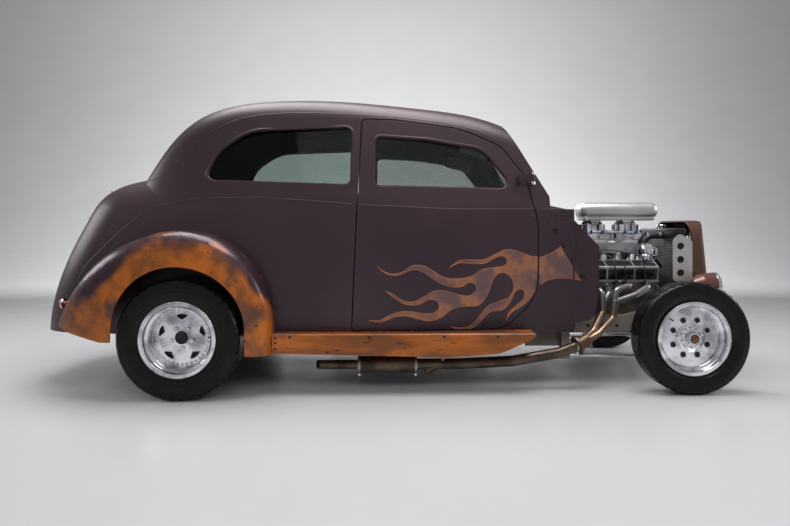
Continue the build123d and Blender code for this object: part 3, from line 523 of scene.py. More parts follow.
def headerMetal():  # grey tubes above, heat-bronzed below
    material, tree, bsdf, where = startMaterial("headerMetal", Metallic=0.85)
    place = where.outputs["Object"]
    height = add(tree, "ShaderNodeSeparateXYZ", [(0, place)]).outputs["Z"]
    patch = noise(tree, place, 9.0, 5.0)
    lowDown = ramp(tree, maths(tree, "ADD", height, maths(tree, "MULTIPLY", patch, 0.12)), 0.60, 0.48)
    grey = mixColours(tree, patch, tint(150, 146, 146), tint(92, 88, 92))
    bronze = mixColours(tree, ramp(tree, patch, 0.35, 0.65), tint(158, 134, 112), tint(96, 76, 62))
    tree.links.new(mixColours(tree, lowDown, grey, bronze), bsdf.inputs["Base Color"])
    tree.links.new(ramp(tree, patch, 0.3, 0.7, 0.24, 0.42), bsdf.inputs["Roughness"])
    bumpFrom(tree, bsdf, noise(tree, place, 250.0, 3.0), 0.06)
    return material, "header_bronze"


plum = plumPaint()
fenderPaint = patinaPaint("fenderPaint", (-1147.5, 371.0, 400.0, 530.0))
rockerPaint = patinaPaint("rockerPaint", None)
flame = flamePaint()
flameEdge = plainFinish("flameEdge", "plum_paint", paintTones["flameEdge"], (160, 90, 52), (0.36, 0.46), 30.0,
                        Metallic=0.3)
shellPaint = plainFinish("shellPaint", "brown_paint", (88, 56, 46), (70, 44, 38), (0.24, 0.36), 3.0, 700.0,
                         0.03, Metallic=0.35, Coat_Weight=0.3, Coat_Roughness=0.15)
railPaint = plainFinish("railPaint", "frame_paint", (132, 124, 116), (106, 98, 92), (0.42, 0.6), 7.0, 260.0,
                        0.08, Metallic=0.2)
blackSteel = plainFinish("blackSteel", "black_steel", (34, 33, 34), (22, 21, 22), (0.3, 0.5), 8.0, 300.0,
                         0.08, Metallic=0.4)
engineIron = plainFinish("engineIron", "engine_iron", (120, 114, 106), (78, 72, 68), (0.42, 0.62), 10.0,
                         160.0, 0.2, Metallic=0.5)
# polished metal: its broad light and dark patches are painted reflections
polished = plainFinish("polished", "polished", (246, 246, 250), (172, 174, 180), (0.06, 0.22), 11.0, 240.0,
                       0.04, Metallic=1.0)
castAluminium = plainFinish("castAluminium", "cast_aluminium", (176, 175, 176), (138, 136, 138), (0.3, 0.46),
                            12.0, 220.0, 0.18, Metallic=0.9)
satinAluminium = plainFinish("satinAluminium", "cast_aluminium", (200, 198, 197), (180, 178, 177),
                             (0.3, 0.42), 5.0, 500.0, 0.04, Metallic=0.8)
chrome = plainFinish("chrome", "chrome", (226, 228, 232), (206, 208, 214), (0.05, 0.12), 9.0, 300.0, 0.01,
                     Metallic=1.0)
bareSteel = plainFinish("bareSteel", "bare_steel", (150, 148, 148), (108, 104, 102), (0.26, 0.44), 14.0,
                        320.0, 0.06, Metallic=0.95)
boltBlack = plainFinish("boltBlack", "black_steel", (58, 48, 48), (38, 32, 34), (0.26, 0.42), 30.0, 400.0,
                        0.05, Metallic=0.6)
pipeBronze = plainFinish("pipeBronze", "header_bronze", (96, 82, 70), (62, 53, 46), (0.24, 0.4), 8.0, 260.0,
                         0.06, Metallic=0.85)
tyreRubber = plainFinish("tyreRubber", "tyre_rubber", (14, 14, 15), (9, 9, 10), (0.2, 0.34), 14.0, 500.0,
                         0.05, Specular_IOR_Level=0.22)
hoseRubber = plainFinish("hoseRubber", "hose_rubber", (26, 26, 27), (16, 16, 17), (0.4, 0.55), 16.0, 420.0,
                         0.08)
blackPlastic = plainFinish("blackPlastic", "black_plastic", (24, 24, 26), (15, 15, 16), (0.28, 0.4), 10.0,
                           500.0, 0.05)
visorVinyl = plainFinish("visorVinyl", "seat_cloth", (150, 146, 142), (124, 120, 116), (0.5, 0.7), 8.0, 500.0,
                         0.1)
seatPiping = plainFinish("seatPiping", "seat_cloth", (40, 34, 34), (26, 22, 22), (0.5, 0.7), 20.0, 500.0, 0.1)
seatCloth = ribbedFinish("seatCloth", "seat_cloth", (74, 66, 62), (50, 44, 42), (0.75, 0.92), 3.0, 0.5, "X",
                         Sheen_Weight=0.3)
dashPaint = plainFinish("dashPaint", "dash_paint", (96, 74, 76), (74, 56, 60), (0.24, 0.36), 4.0, 500.0, 0.03,
                        Metallic=0.3, Coat_Weight=0.3)
# radiator core: the near-black between the fins is painted shade
radiatorCore = ribbedFinish("radiatorCore", "black_steel", (40, 38, 38), (8, 8, 8), (0.4, 0.6), 5.0, 1.2, "Z",
                            Metallic=0.3)
redLens = plainFinish("redLens", "red_lens", (150, 16, 14), (112, 8, 8), (0.06, 0.14), 20.0, 200.0, 0.05,
                      Coat_Weight=0.8)
amberCap = plainFinish("amberCap", "red_lens", (112, 70, 30), (58, 38, 24), (0.12, 0.22), 60.0, 300.0, 0.02,
                       Metallic=0.5, Coat_Weight=0.5)
coverPanel = plainFinish("coverPanel", "black_steel", (52, 54, 58), (34, 35, 38), (0.14, 0.28), 16.0, 260.0,
                         0.04, Metallic=0.8)
blueFitting = plainFinish("blueFitting", "polished", (30, 92, 160), (18, 60, 120), (0.16, 0.3), 20.0, 300.0,
                          0.03, Metallic=0.8)
screenGlass = glass("screenGlass", (176, 187, 181))
sideGlass = glass("sideGlass", (174, 181, 178))
headerPipe = headerMetal()
print("materials ready")

# CAD nodes take their finishes
nodeFinishes = [
    (plum, "body_shell bay_panels door_right door_left boot_lid"),
    (fenderPaint, "rear_fender_right rear_fender_left"),
    (rockerPaint, "rocker_panels"),
    (railPaint, "frame"),
    (shellPaint, "grille_shell headlights"),
    (dashPaint, "dashboard"),
    (blackSteel,
     "floor_pan belt_drive rear_axle leaf_springs fuel_tank front_axle knuckle_right knuckle_left"),
    (engineIron, "engine"),
    (castAluminium, "valve_covers intake_manifold"),
    (satinAluminium, "air_scoop"),
    (polished,
     "carburettors grille_bars wheel_front_right wheel_front_left wheel_rear_right wheel_rear_left"),
    (chrome, "door_hinges boot_hinges radius_rods tie_rod"),
    (bareSteel, "fan"),
    (headerPipe, "headers"),
    (pipeBronze, "exhausts"),
    (radiatorCore, "radiator"),
    (hoseRubber, "radiator_hose"),
    (tyreRubber, "tyre_front_right tyre_front_left tyre_rear_right tyre_rear_left"),
    (blackPlastic, "steering_wheel"),
    (seatCloth, "seats"),
    (redLens, "tail_lamps"),
    (screenGlass, "fixed_glass"),
    (sideGlass, "door_glass_right door_glass_left"),
]
for finish, names in nodeFinishes:
    for name in names.split():
        nodes[name].data.materials.clear()
        nodes[name].data.materials.append(finish[0])
print("CAD nodes painted")


# Outlines and trim that follow the CAD skins
def softCorners(rows, grow=0.0, steps=6):  # rounds an outline's corners and offsets it outwards by grow
    count = len(rows)
    pairs = [(rows[i], rows[(i + 1) % count]) for i in range(count)]
    turn = 1 if sum(a[0] * b[1] - b[0] * a[1] for a, b in pairs) > 0 else -1
    spots = []
    for i, (x, z, radius) in enumerate(rows):
        here = Vector((x, z))
        back = (Vector(rows[i - 1][:2]) - here).normalized()
        ahead = (Vector(rows[(i + 1) % count][:2]) - here).normalized()
        middle = (back + ahead).normalized()
        half = back.angle(ahead) / 2
        convex = (ahead.x * back.y - ahead.y * back.x) * turn > 0
        reach = grow if convex else -grow
        corner = here - middle * reach / math.sin(half)
        radius = max(radius + reach, 0.5)
        centre = corner + middle * radius / math.sin(half)
        first = corner + back * radius / math.tan(half) - centre
        last = corner + ahead * radius / math.tan(half) - centre
        sweep = first.angle_signed(last)
        for step in range(steps + 1):
            arm = first.copy()
            arm.rotate(Matrix.Rotation(-sweep * step / steps, 2))
            spots.append(tuple(centre + arm))
    return spots


skins = {}


def skinOf(node):  # merged copies of painted skins, to press trim onto
    if node not in skins:
        skins[node] = copyOf(node)
    return skins[node]


def pressed(piece, node, offset, direction="Y", outward=True):  # pushes the points straight onto the skin
    useModifier(piece, "SHRINKWRAP", target=skinOf(node), wrap_method="PROJECT", offset=offset * mm,
                use_project_x=direction == "X", use_project_y=direction == "Y",
                use_project_z=direction == "Z",
                use_positive_direction=outward, use_negative_direction=not outward)


besideSkin = -900  # trim for the right side starts this far out, before it is pressed on


def bead(spots, node, radius, sink, closed=False, sharp=(), steps=8):  # round trim on the right side's skin
    line([(x, besideSkin, z) for x, z in spots], sharp, closed, steps)
    piece = asMesh()
    pressed(piece, node, -sink)
    toEdit()
    bpy.ops.mesh.select_mode(type="VERT")
    bpy.ops.mesh.select_all(action="DESELECT")
    toObject()
    for point in piece.data.vertices:  # spots beside the node found no skin
        point.select = point.co.y < (besideSkin + 10) * mm
    toEdit()
    bpy.ops.mesh.delete(type="VERT")
    toObject()
    return asTube(piece, radius, 2, True)


# Body mouldings pressed onto the right side: belt crease, drip line, window rims
mouldings = {
    "belt_crease_rear": {"node": "body_shell", "radius": 5.0, "spots": [
        (-1823, 632), (-1767, 722), (-1700, 788), (-1618, 868), (-1536, 940), (-1466, 993), (-1400, 1034),
        (-1337, 1060), (-1240, 1078), (-1121, 1100), (-1054, 1105), (-890, 1106), (-730, 1107), (-660, 1103),
        (-434, 1087), (-217, 1069)]},
    "belt_crease_door": {"node": "door_right", "radius": 5.0, "spots": [
        (-206, 1067), (-150, 1065), (80, 1055), (352, 1043), (600, 1043), (856, 1043)]},
    "belt_crease_cowl": {"node": "body_shell", "radius": 5.0, "spots": [
        (868, 1043), (960, 1042), (1080, 1040)]},
    "drip_line": {"node": "body_shell", "radius": 4.5, "spots": [
        (-1423, 1212), (-1371, 1226), (-1283, 1286), (-1178, 1382), (-1063, 1479), (-931, 1551), (-798, 1587),
        (-622, 1603), (-444, 1605), (-268, 1601), (-100, 1594), (60, 1583), (237, 1563), (401, 1539),
        (523, 1506), (620, 1460), (700, 1396), (765, 1320), (812, 1244)]},
}
windowRims = {  # corners as X, Z and radius
    "quarter_rim": {"node": "body_shell", "corners": [
        (-1075.5, 1209, 40), (-1002.5, 1380, 250), (-817.5, 1500, 300), (-217.5, 1522, 45),
        (-225.5, 1180, 35)]},
    "door_window_rim": {"node": "door_right", "corners": [
        (-93.5, 1176, 35), (-91.5, 1470, 40), (212.5, 1452, 500), (542.5, 1400, 140), (742.5, 1160, 45)]},
}
mouldingSize = {"sink": 3.2, "rimGrow": 5, "rimRadius": 12.0, "rimSink": 9.5}


def bodiesOf(node):  # what side trim on this node rides, right and left
    return ("door_right", "door_left") if node == "door_right" else ("car", "car")


def addMouldings():
    size = mouldingSize
    for name, m in mouldings.items():
        dressPair(bead(m["spots"], m["node"], m["radius"], size["sink"]), name, plum, bodiesOf(m["node"]))
    for name, rim in windowRims.items():
        spots = softCorners(rim["corners"], size["rimGrow"])
        piece = bead(spots, rim["node"], size["rimRadius"], size["rimSink"], True, range(len(spots)), 1)
        dressPair(piece, name, plum, bodiesOf(rim["node"]))
    print("mouldings done")


# Rubber round the windscreen and rear window
screens = {"base": (941.5, 1120.0), "top": (711.5, 1504.0), "edge": 45.0, "half": 440.0, "topHalf": 385.0,
           "lap": 4, "corner": 49, "rubber": 5.5, "behind": -1900, "rearSink": 2.0,
           "rear": [(-270, 1330, 60), (270, 1330, 60), (270, 1480, 60), (-270, 1480, 60)]}


def addScreenRubbers():
    s = screens
    base, top = [Vector((x, 0, z)) for x, z in (s["base"], s["top"])]
    up = (top - base).normalized()
    low, high = base + up * (s["edge"] - s["lap"]), top - up * (s["edge"] - s["lap"])
    half, topHalf, rise = s["half"] + s["lap"], s["topHalf"] + s["lap"], (high - low).length
    corners = [(y, z, s["corner"]) for y, z in ((-half, 0), (half, 0), (topHalf, rise), (-topHalf, rise))]
    spots = [low + up * z + Vector((0, y, 0)) for y, z in softCorners(corners)]
    dress(tube(spots, s["rubber"], range(len(spots)), True, 1, 2), "windscreen_rubber", hoseRubber)
    spots = [(s["behind"], y, z) for y, z in softCorners(s["rear"], s["lap"])]
    line(spots, range(len(spots)), True, 1)
    ring = asMesh()
    pressed(ring, "body_shell", -s["rearSink"], "X")
    dress(asTube(ring, s["rubber"]), "rear_window_rubber", hoseRubber)
    print("screen rubbers done")


# Flames, traced; sharp spots are the lick ends and the panel edges, gap is where the edge line stops
flames = {
    "door_flames": {"node": "door_right", "gap": 870, "sharp": (0, 8, 27, 46, 58, 79, 91, 96), "spots": [
        (884, 768), (812, 773), (742, 798), (672, 810), (604, 784), (534, 754), (456, 753), (390, 746),
        (330, 704), (390, 734), (466, 732), (544, 733), (598, 760), (642, 774), (672, 755), (662, 721),
        (604, 709), (534, 698), (466, 660), (390, 645), (312, 652), (244, 690), (188, 719), (120, 719),
        (64, 685), (8, 675), (-50, 698), (-78, 723), (-40, 685), (12, 666), (74, 677), (130, 699),
        (182, 686), (254, 638), (332, 602), (408, 599), (462, 622), (494, 593), (466, 552), (398, 551),
        (322, 573), (254, 576), (188, 542), (130, 516), (74, 522), (16, 559), (-32, 581), (26, 535),
        (92, 499), (168, 501), (226, 528), (274, 507), (264, 459), (206, 446), (130, 457), (54, 458),
        (-12, 435), (-60, 411), (-126, 409), (-50, 401), (22, 427), (82, 434), (150, 418), (226, 404),
        (292, 423), (360, 472), (438, 486), (506, 490), (554, 540), (588, 626), (622, 671), (672, 671),
        (712, 619), (698, 547), (632, 510), (564, 486), (516, 430), (466, 376), (408, 360), (342, 368),
        (408, 348), (476, 359), (534, 409), (584, 453), (652, 462), (698, 509), (728, 568), (768, 578),
        (780, 541), (738, 489), (692, 451), (670, 392), (702, 441), (762, 478), (812, 521), (854, 583),
        (884, 612)]},
    "cowl_flames": {"node": "body_shell", "gap": 886, "sharp": (0, 3, 5, 6, 10), "spots": [
        (868, 765), (916, 777), (962, 798), (1000, 826), (1040, 762), (1076, 704), (1076, 634), (1020, 640),
        (946, 635), (900, 618), (868, 603)]},
    "bay_flames": {"node": "bay_panels", "gap": 1091, "sharp": (0, 1, 2), "spots": [
        (1090, 700), (1134, 624), (1090, 631)]},
}
flameSize = {"outside": -950, "reach": 550, "proud": 0.6, "edge": 1.5, "edgeSink": 0.4}


def flameSkin(shape):  # the part of the painted skin inside the outline, lifted a little
    line([(x, flameSize["outside"], z) for x, z in shape["spots"]], shape["sharp"], True, 5)
    piece = asMesh()
    pickPoints(piece)
    bpy.ops.mesh.remove_doubles(threshold=0.0001)
    bpy.ops.mesh.edge_face_add()
    extrude(0, flameSize["reach"] * mm, 0)
    bpy.ops.mesh.select_all(action="SELECT")
    bpy.ops.mesh.normals_make_consistent(inside=False)
    toObject()
    useModifier(piece, "BOOLEAN", operation="INTERSECT", object=skinOf(shape["node"]), solver="EXACT")
    pickFaces(piece, lambda centre, normal: normal.y > -0.5 or centre.y > -0.45)
    bpy.ops.mesh.delete(type="FACE")
    lift(flameSize["proud"])
    return piece


def addFlames():
    for name, shape in flames.items():
        bodies = bodiesOf(shape["node"])
        dressPair(flameSkin(shape), name, flame, bodies, 60)
        edge = list(shape["spots"])
        edge[0], edge[-1] = (shape["gap"], edge[0][1]), (shape["gap"], edge[-1][1])
        piece = bead(edge, shape["node"], flameSize["edge"], flameSize["edgeSink"], False, shape["sharp"], 5)
        dressPair(piece, name + "_edge", flameEdge, bodies, 60)
    print("flames done")


# Wheels: modelled with Z outboard, then laid on their side
wheels = {
    "front": {"centre": (1697.5, -691, 315), "radius": 315.0, "half": 82.5, "seat": 55.2, "ribs": 4,
              "slot": 12, "rim": 63.5, "stem": (170, 152), "stemTurn": 139, "nutsOut": 55, "nutsUp": 20.5},
    "rear": {"centre": (-1147.5, -722, 332.5), "radius": 332.5, "half": 122.5, "seat": 106.2, "ribs": 6,
             "slot": 22, "rim": 114.5, "stem": (180, 168), "stemTurn": 4, "nutsOut": 57, "nutsUp": 27.5},
}
tyreShape = {"steps": 120, "lip": 215.0, "bead": 221, "edge": 27, "grooveDepth": 8, "slotDepth": 4.5}
wheelTurned = {  # rows of radius and height; out and up place one piece of a ring
    "front_brake_disc": {"finish": blackSteel, "steps": 64, "closed": True, "rows": [
        (64, -14), (150, -14), (152, -12), (150, -10), (64, -10)]},
    # dark discs inside the front wheels' holes are painted shade
    "front_hole_floors": {"finish": blackSteel, "steps": 24, "out": 105, "up": 0, "count": 8, "start": 22.5,
                          "rows": [(15.6, 3.5), (14, 3), (8, 2.4), (0.4, 2.2)]},
    "front_hole_rims": {"finish": chrome, "steps": 24, "out": 105, "up": 0, "count": 8, "start": 22.5,
                        "rows": [(15.7, 4), (15.7, 8.6), (17.5, 9.8), (20, 9.2), (21, 7.3)]},
    "front_hub_plate": {"finish": polished, "steps": 64, "rows": [
        (34, 16.3), (36, 20.5), (64, 20.5), (67, 18), (76, 16), (80, 13), (81, 7)]},
    "front_cap_rim": {"finish": chrome, "steps": 48, "rows": [
        (33.2, 46), (34.4, 48), (34.4, 57), (33, 60.8), (29, 61.4), (26.5, 60.4), (26.4, 58.5)]},
    "front_cap_face": {"finish": amberCap, "steps": 48, "rows": [
        (26.4, 60.6), (20, 61.3), (10, 61.8), (0.4, 61.9)]},
    "rear_brake_drum": {"finish": blackSteel, "steps": 64, "closed": True, "rows": [
        (60, -8), (150, -8), (152, -5), (150, -2), (60, -2)]},
    "rear_rim_dimples": {"finish": polished, "steps": 16, "out": 149, "up": 21.2, "count": 36, "start": 0,
                         "rows": [(8.6, 0), (8.2, 2.6), (6.6, 3.6), (5.4, 2.2), (3.4, 1.0), (0.4, 0.8)]},
    "rear_face_step": {"finish": polished, "steps": 96, "closed": True, "rows": [
        (159, 20.5), (160, 25.5), (164, 26.5), (167, 23.5), (167.5, 20.5)]},
    "rear_hub_cap": {"finish": blackSteel, "steps": 40, "rows": [
        (36.4, 22), (35.5, 27.5), (32, 28.6), (26, 26.5), (10, 25.6), (0.4, 25.4)]},
}
rearFace = {"height": 21.5, "window": [(96, 0, 8), (121, 37, 6), (134, 0, 60), (121, -37, 6)], "rim": 2.6,
            "ribs": (-17, 0, 17), "ribHalf": 2.4}
outboard = (0, -1, 0)  # on the right side, which is the one in the photograph


def wheelPiece(piece, where, name, finish):
    lay(piece, wheels[where]["centre"], outboard)
    dressPair(piece, name, finish, (where + "_wheel_right", where + "_wheel_left"))


def wheelRing(piece, where, name, finish, count, start):
    wheelPiece(ringOf(piece, count, (0, 0, 0), "Z", start), where, name, finish)


def nutRing(parts, where, name, start):
    nut = gather(parts)
    nut.data.transform(moved(wheels[where]["nutsOut"], 0, wheels[where]["nutsUp"]))
    wheelRing(nut, where, name, chrome, 5, start)


def sideWall(size):  # rows of radius and height from the bead to the tread's edge, with raised bands
    lip, shoulder, seat = tyreShape["lip"], size["radius"] - 14, size["seat"]
    rows = [(191.2, seat - 16), (191.2, seat - 2), (198, seat), (208, seat + 0.5)]
    for i in range(25):
        t = i / 24
        rise = math.sin(math.pi * t) if t < 0.5 else math.cos((t - 0.5) * 1.7)
        band = 1.6 if 0.12 < t < 0.2 or 0.55 < t < 0.72 else 0.0
        rows.append((lip + (shoulder - lip) * t, seat + 2 + (size["half"] - 5.6 - seat) * rise + band))
    return rows


def tyrePiece(where):
    size = wheels[where]
    radius, half, steps = size["radius"], size["half"], tyreShape["steps"]
    edge, floor = half - tyreShape["edge"], radius - tyreShape["grooveDepth"]
    tread = [(radius - 9, half - 14), (radius - 3, half - 20), (radius - 0.3, edge)]
    for i in range(1, size["ribs"]):
        groove = edge - 2 * edge / size["ribs"] * i
        tread += [(radius - 0.2, groove + 4), (floor, groove + 3), (floor, groove - 3),
                  (radius - 0.2, groove - 4)]
    wall = sideWall(size)
    tread += [(radius - 0.3, -edge), (radius - 3, 20 - half), (radius - 9, 14 - half)]
    inside = [(tyreShape["bead"], 26 - size["seat"]), (tyreShape["bead"], size["seat"] - 26)]
    piece = turnPiece(wall + tread + [(r, -z) for r, z in reversed(wall)] + inside, steps, True)

    def slot(centre, normal):  # every third face near the tread's edge
        turn = math.atan2(centre.y, centre.x) * steps / (2 * math.pi)
        outer = math.hypot(centre.x, centre.y) / mm > radius - size["slot"]
        return outer and abs(centre.z) / mm > edge - 8 and int(turn + 200) % 3 == 0

    pickFaces(piece, slot)
    depth = {"value": -tyreShape["slotDepth"] * mm}
    bpy.ops.mesh.extrude_region_shrink_fatten(TRANSFORM_OT_shrink_fatten=depth)
    toObject()
    lay(piece, size["centre"], outboard)
    for tyre, side in ((piece, "right"), (twin(piece, across()), "left")):
        dress(tyre, where + "_tyre_tread_" + side, tyreRubber, where + "_wheel_" + side, 30)
        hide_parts("tyre_" + where + "_" + side)


def addWheels():
    for where, size in wheels.items():
        tyrePiece(where)
        reach, (foot, tip) = size["rim"], size["stem"]
        lip = turnPiece([(186, reach - 5), (188, reach - 1), (193, reach + 0.6), (198, reach - 1.5),
                         (203, reach + 0.8), (207, reach - 1), (206, reach - 5)], 96, True)
        wheelPiece(lip, where, where + "_rim_steps", polished)
        stem = tube([(foot, 0, reach - 36), ((foot + tip) / 2, 0, reach - 26), (tip, 0, reach - 14)], 4,
                    (0, 1, 2), rounds=2)
        stem.data.transform(Matrix.Rotation(math.radians(size["stemTurn"]), 4, "Z"))
        wheelPiece(stem, where, where + "_valve_stem", hoseRubber)
    for name, t in wheelTurned.items():
        piece = turnPiece(t["rows"], t["steps"], t.get("closed", False))
        where = name.split("_")[0]
        if "count" in t:
            piece.data.transform(moved(t["out"], 0, t["up"]))
            wheelRing(piece, where, name, t["finish"], t["count"], t["start"])
        else:
            wheelPiece(piece, where, name, t["finish"])
    nutRing([hexNut(20, 16), turnPiece([(12.5, 0), (12.5, 2), (10.5, 3)], 20)],
            "front", "front_wheel_nuts", 18)
    nutRing([turnPiece([(10, 0), (10.5, 1), (10, 2.5), (7.5, 3)], 20), roundBolt(6, 8)],
            "front", "front_hub_bolts", 54)
    nutRing([hexNut(21, 12), turnPiece([(13, 0), (13, 2.5), (10.8, 3.5)], 20)], "rear", "rear_wheel_nuts", 54)
    height, half = rearFace["height"], rearFace["ribHalf"]
    spots = [(x, y, height + 0.3) for x, y in softCorners(rearFace["window"], 1.5)]
    rim = tube(spots, rearFace["rim"], range(len(spots)), True, 1, 2)
    wheelRing(rim, "rear", "rear_window_rims", polished, 5, 90)
    ribs = [block((66, y - half, height - 0.4), (128 - abs(y) * 0.4, y + half, height + 3.2), 1.2, 2)
            for y in rearFace["ribs"]]
    wheelRing(gather(ribs), "rear", "rear_spoke_ribs", polished, 5, 54)
    print("wheels done")


# Fender lips and board bolts
bodyTrim = {"opening": (-1147.5, 371.0, 361.0), "lipEnds": (262, 340), "lipRadius": 6.0, "lipSink": 6.2,
            "boardY": -725.0, "bolts": [(-560, 328, 6), (-120, 328, 6), (300, 328, 6), (600, 328, 6),
                                        (-640, 322, 5), (-640, 296, 5), (-640, 262, 5)]}  # X, Z and radius


def addBodyTrim():
    t = bodyTrim
    x, z, radius = t["opening"]
    turns = [math.radians(angle) for angle in range(0, 181, 9)]
    arc = [(x + radius * math.cos(turn), z + radius * math.sin(turn)) for turn in turns]
    spots = [(x + radius, t["lipEnds"][0])] + arc + [(x - radius, t["lipEnds"][1])]
    lip = bead(spots, "rear_fender_right", t["lipRadius"], t["lipSink"], False, (0, 1, len(spots) - 2), 4)
    dressPair(lip, "fender_lip", fenderPaint)
    heads = [lay(roundBolt(size, 5), (x, t["boardY"], z), outboard) for x, z, size in t["bolts"]]
    dressPair(gather(heads), "board_bolts", boltBlack)
    print("body trim done")


# Cowl strip with its four big bolts, and the folds on the bay panel
cowlStrip = {"from": (927, 990), "to": (1158, 619), "wide": 30.0, "thick": 9.0, "proud": 3.0,
             "bolts": [(969, 923), (1022, 838), (1080, 745), (1137, 652)], "rivetHeight": 1006,
             "fold": [(1100, 872), (1150, 764), (1196, 664)], "edge": [(1237, 820), (1236, 580), (1212, 400)]}


def cowlSide(x):  # the cowl side's distance from the middle
    return 573 - 0.193 * (x - 915)


def framed(right, up, out):  # turns X, Y and Z to these directions
    return Matrix((right, up, out)).transposed().to_4x4()


def addCowlStrip():
    c = cowlStrip
    start, end = [Vector((x, -cowlSide(x) - c["proud"], z)) for x, z in (c["from"], c["to"])]
    along = (end - start).normalized()
    out = along.cross(Vector((0, 1, 0)).cross(along)).normalized()
    out = out if out.y < 0 else -out
    strip = block((-c["wide"] / 2, 0, -c["thick"]), (c["wide"] / 2, (end - start).length, 0), 1.5, 2)
    strip.data.transform(moved(*start) @ framed(along.cross(out), along, out))
    dressPair(strip, "cowl_strip", plum)
    heads = [lay(roundBolt(12, 12), (x, -cowlSide(x) - c["proud"], z), out) for x, z in c["bolts"]]
    heads += [lay(roundBolt(3.5, 4), (x, -cowlSide(x), c["rivetHeight"]), out) for x in range(972, 1060, 17)]
    dressPair(gather(heads), "cowl_bolts", boltBlack)
    fold = tube([(x, -524.6, z) for x, z in c["fold"]], 3.0, (0, 1, 2), steps=2, rounds=2)
    edge = tube([(x, -525, z) for x, z in c["edge"]], 4.0, (0, 1, 2), steps=2, rounds=2)
    dressPair(gather([fold, edge]), "bay_panel_fold", plum)
    print("cowl strip done")


# Single turned pieces: rows of radius and height, where they stand and what they face
turnedTrim = {
    "tail_lamp_ring": {"finish": chrome, "pair": True, "steps": 40, "closed": True,
                       "place": (-1866, -600, 505), "toward": (-1, 0, 0),
                       "rows": [(12.5, -6), (28, -4), (31, 0), (30, 6), (27, 8), (26, 2), (12.5, 0)]},
    "tail_lamp_lens": {"finish": redLens, "pair": True, "steps": 40, "place": (-1866, -600, 505),
                       "toward": (-1, 0, 0),
                       "rows": [(27, 2), (26.5, 10), (23, 16), (16, 20), (8, 22), (0.5, 22.5)]},
    "oil_filler_cap": {"finish": chrome, "pair": True, "steps": 32, "place": (1622, -268, 722),
                       "toward": (0, -0.42, 0.91), "rows": [
                           (20, 0), (20, 14), (26, 16), (27, 22), (27, 34), (24, 39), (8, 40), (0.5, 40)]},
    "distributor_cap": {"finish": blackPlastic, "steps": 32, "place": (1182, 0, 790),
                        "rows": [(36, 0), (36, 30), (46, 34), (46, 66), (40, 78), (14, 82), (0.5, 82)]},
    "fuel_log": {"finish": polished, "pair": True, "steps": 20, "place": (1312, -92, 908),
                 "toward": (1, 0, 0), "rows": [
                     (9, 0), (12, 1), (12, 12), (9.5, 14), (9.5, 332), (12, 334), (12, 345), (9, 346),
                     (0.5, 346)]},
    "alternator_pulley": {"finish": chrome, "steps": 40, "place": (1708, -188, 778), "toward": (1, 0, 0),
                          "rows": [(30, 0), (34, 1), (34, 4), (26, 9), (34, 14), (34, 17), (30, 18),
                                   (12, 14), (0.5, 14)]},
    "radiator_cap": {"finish": chrome, "steps": 32, "place": (1850, 0, 932), "rows": [
        (20, 0), (20, 10), (27, 11), (29, 14), (29, 22), (26, 26), (10, 28), (0.5, 28)]},
    "headlight_ring": {"finish": chrome, "pair": True, "steps": 56, "closed": True,
                       "place": (1935.5, -415, 584), "toward": (1, 0, 0),
                       "rows": [(70, 40), (78.5, 42), (81, 50), (80, 58), (75, 63), (70, 61), (68.5, 54)]},
    "headlight_lens": {"finish": screenGlass, "pair": True, "steps": 56, "place": (1935.5, -415, 584),
                       "wall": 3.0, "toward": (1, 0, 0),
                       "rows": [(71, 55), (60, 60), (44, 64), (24, 66.5), (0.5, 67.5)]},
    "headlight_reflector": {"finish": chrome, "pair": True, "steps": 48, "place": (1935.5, -415, 584),
                            "toward": (1, 0, 0),
                            "rows": [(70.5, 53), (50, 44), (26, 34), (8, 30), (0.5, 30)]},
    "gear_knob": {"finish": blackPlastic, "steps": 28, "place": (500, 10, 752), "toward": (-0.25, 0.05, 1),
                  "rows": [(8, -6), (14, 0), (22, 8), (26, 20), (24, 32), (14, 41), (0.5, 44)]},
    "gear_boot": {"finish": hoseRubber, "steps": 32, "place": (560, 0, 474),
                  "rows": [(52, 0), (50, 6), (40, 12), (42, 20), (30, 28), (32, 36), (20, 46), (10, 52)]},
}


def addTurnedTrim():
    for name, t in turnedTrim.items():
        piece = turnPiece(t["rows"], t["steps"], t.get("closed", False))
        lay(piece, t["place"], t.get("toward", (0, 0, 1)))
        if "wall" in t:
            useModifier(piece, "SOLIDIFY", thickness=t["wall"] * mm, offset=-1)
        if t.get("pair"):
            dressPair(piece, name, t["finish"])
        else:
            dress(piece, name, t["finish"])
    print("lamps, caps and knobs done")


# Engine dress: cover panels, header flanges, wires
engineDress = {
    "ports": [(1252.5, 560), (1372.5, 560), (1492.5, 565), (1612.5, 575)], "portSide": -318.0,
    "coverLow": (-325, 598), "coverHigh": (-340, 692), "coverTop": (-240, 738), "coverEnds": (1203, 1682),
    "panels": [(1214, 1352), (1364, 1524), (1536, 1671)], "coverBolts": (1212, 1290, 1442, 1595, 1673),
    "plugs": (1222, 1402, 1462, 1582), "distributor": [(1215, -90, 812), (1188, -40, 832)],
}


def facePlate(low, high, along, part, thick, edge):  # along X, and over a part of the face from low to high
    plate = block((along[0], 0, -2), (along[1], math.dist(low, high) * (part[1] - part[0]), thick), edge, 2)
    right, up = Vector((1, 0, 0)), Vector((0, high[0] - low[0], high[1] - low[1])).normalized()
    spot = [low[i] + (high[i] - low[i]) * part[0] for i in (0, 1)]
    plate.data.transform(moved(0, *spot) @ framed(right, up, right.cross(up)))
    cleanUp(plate)
    return plate


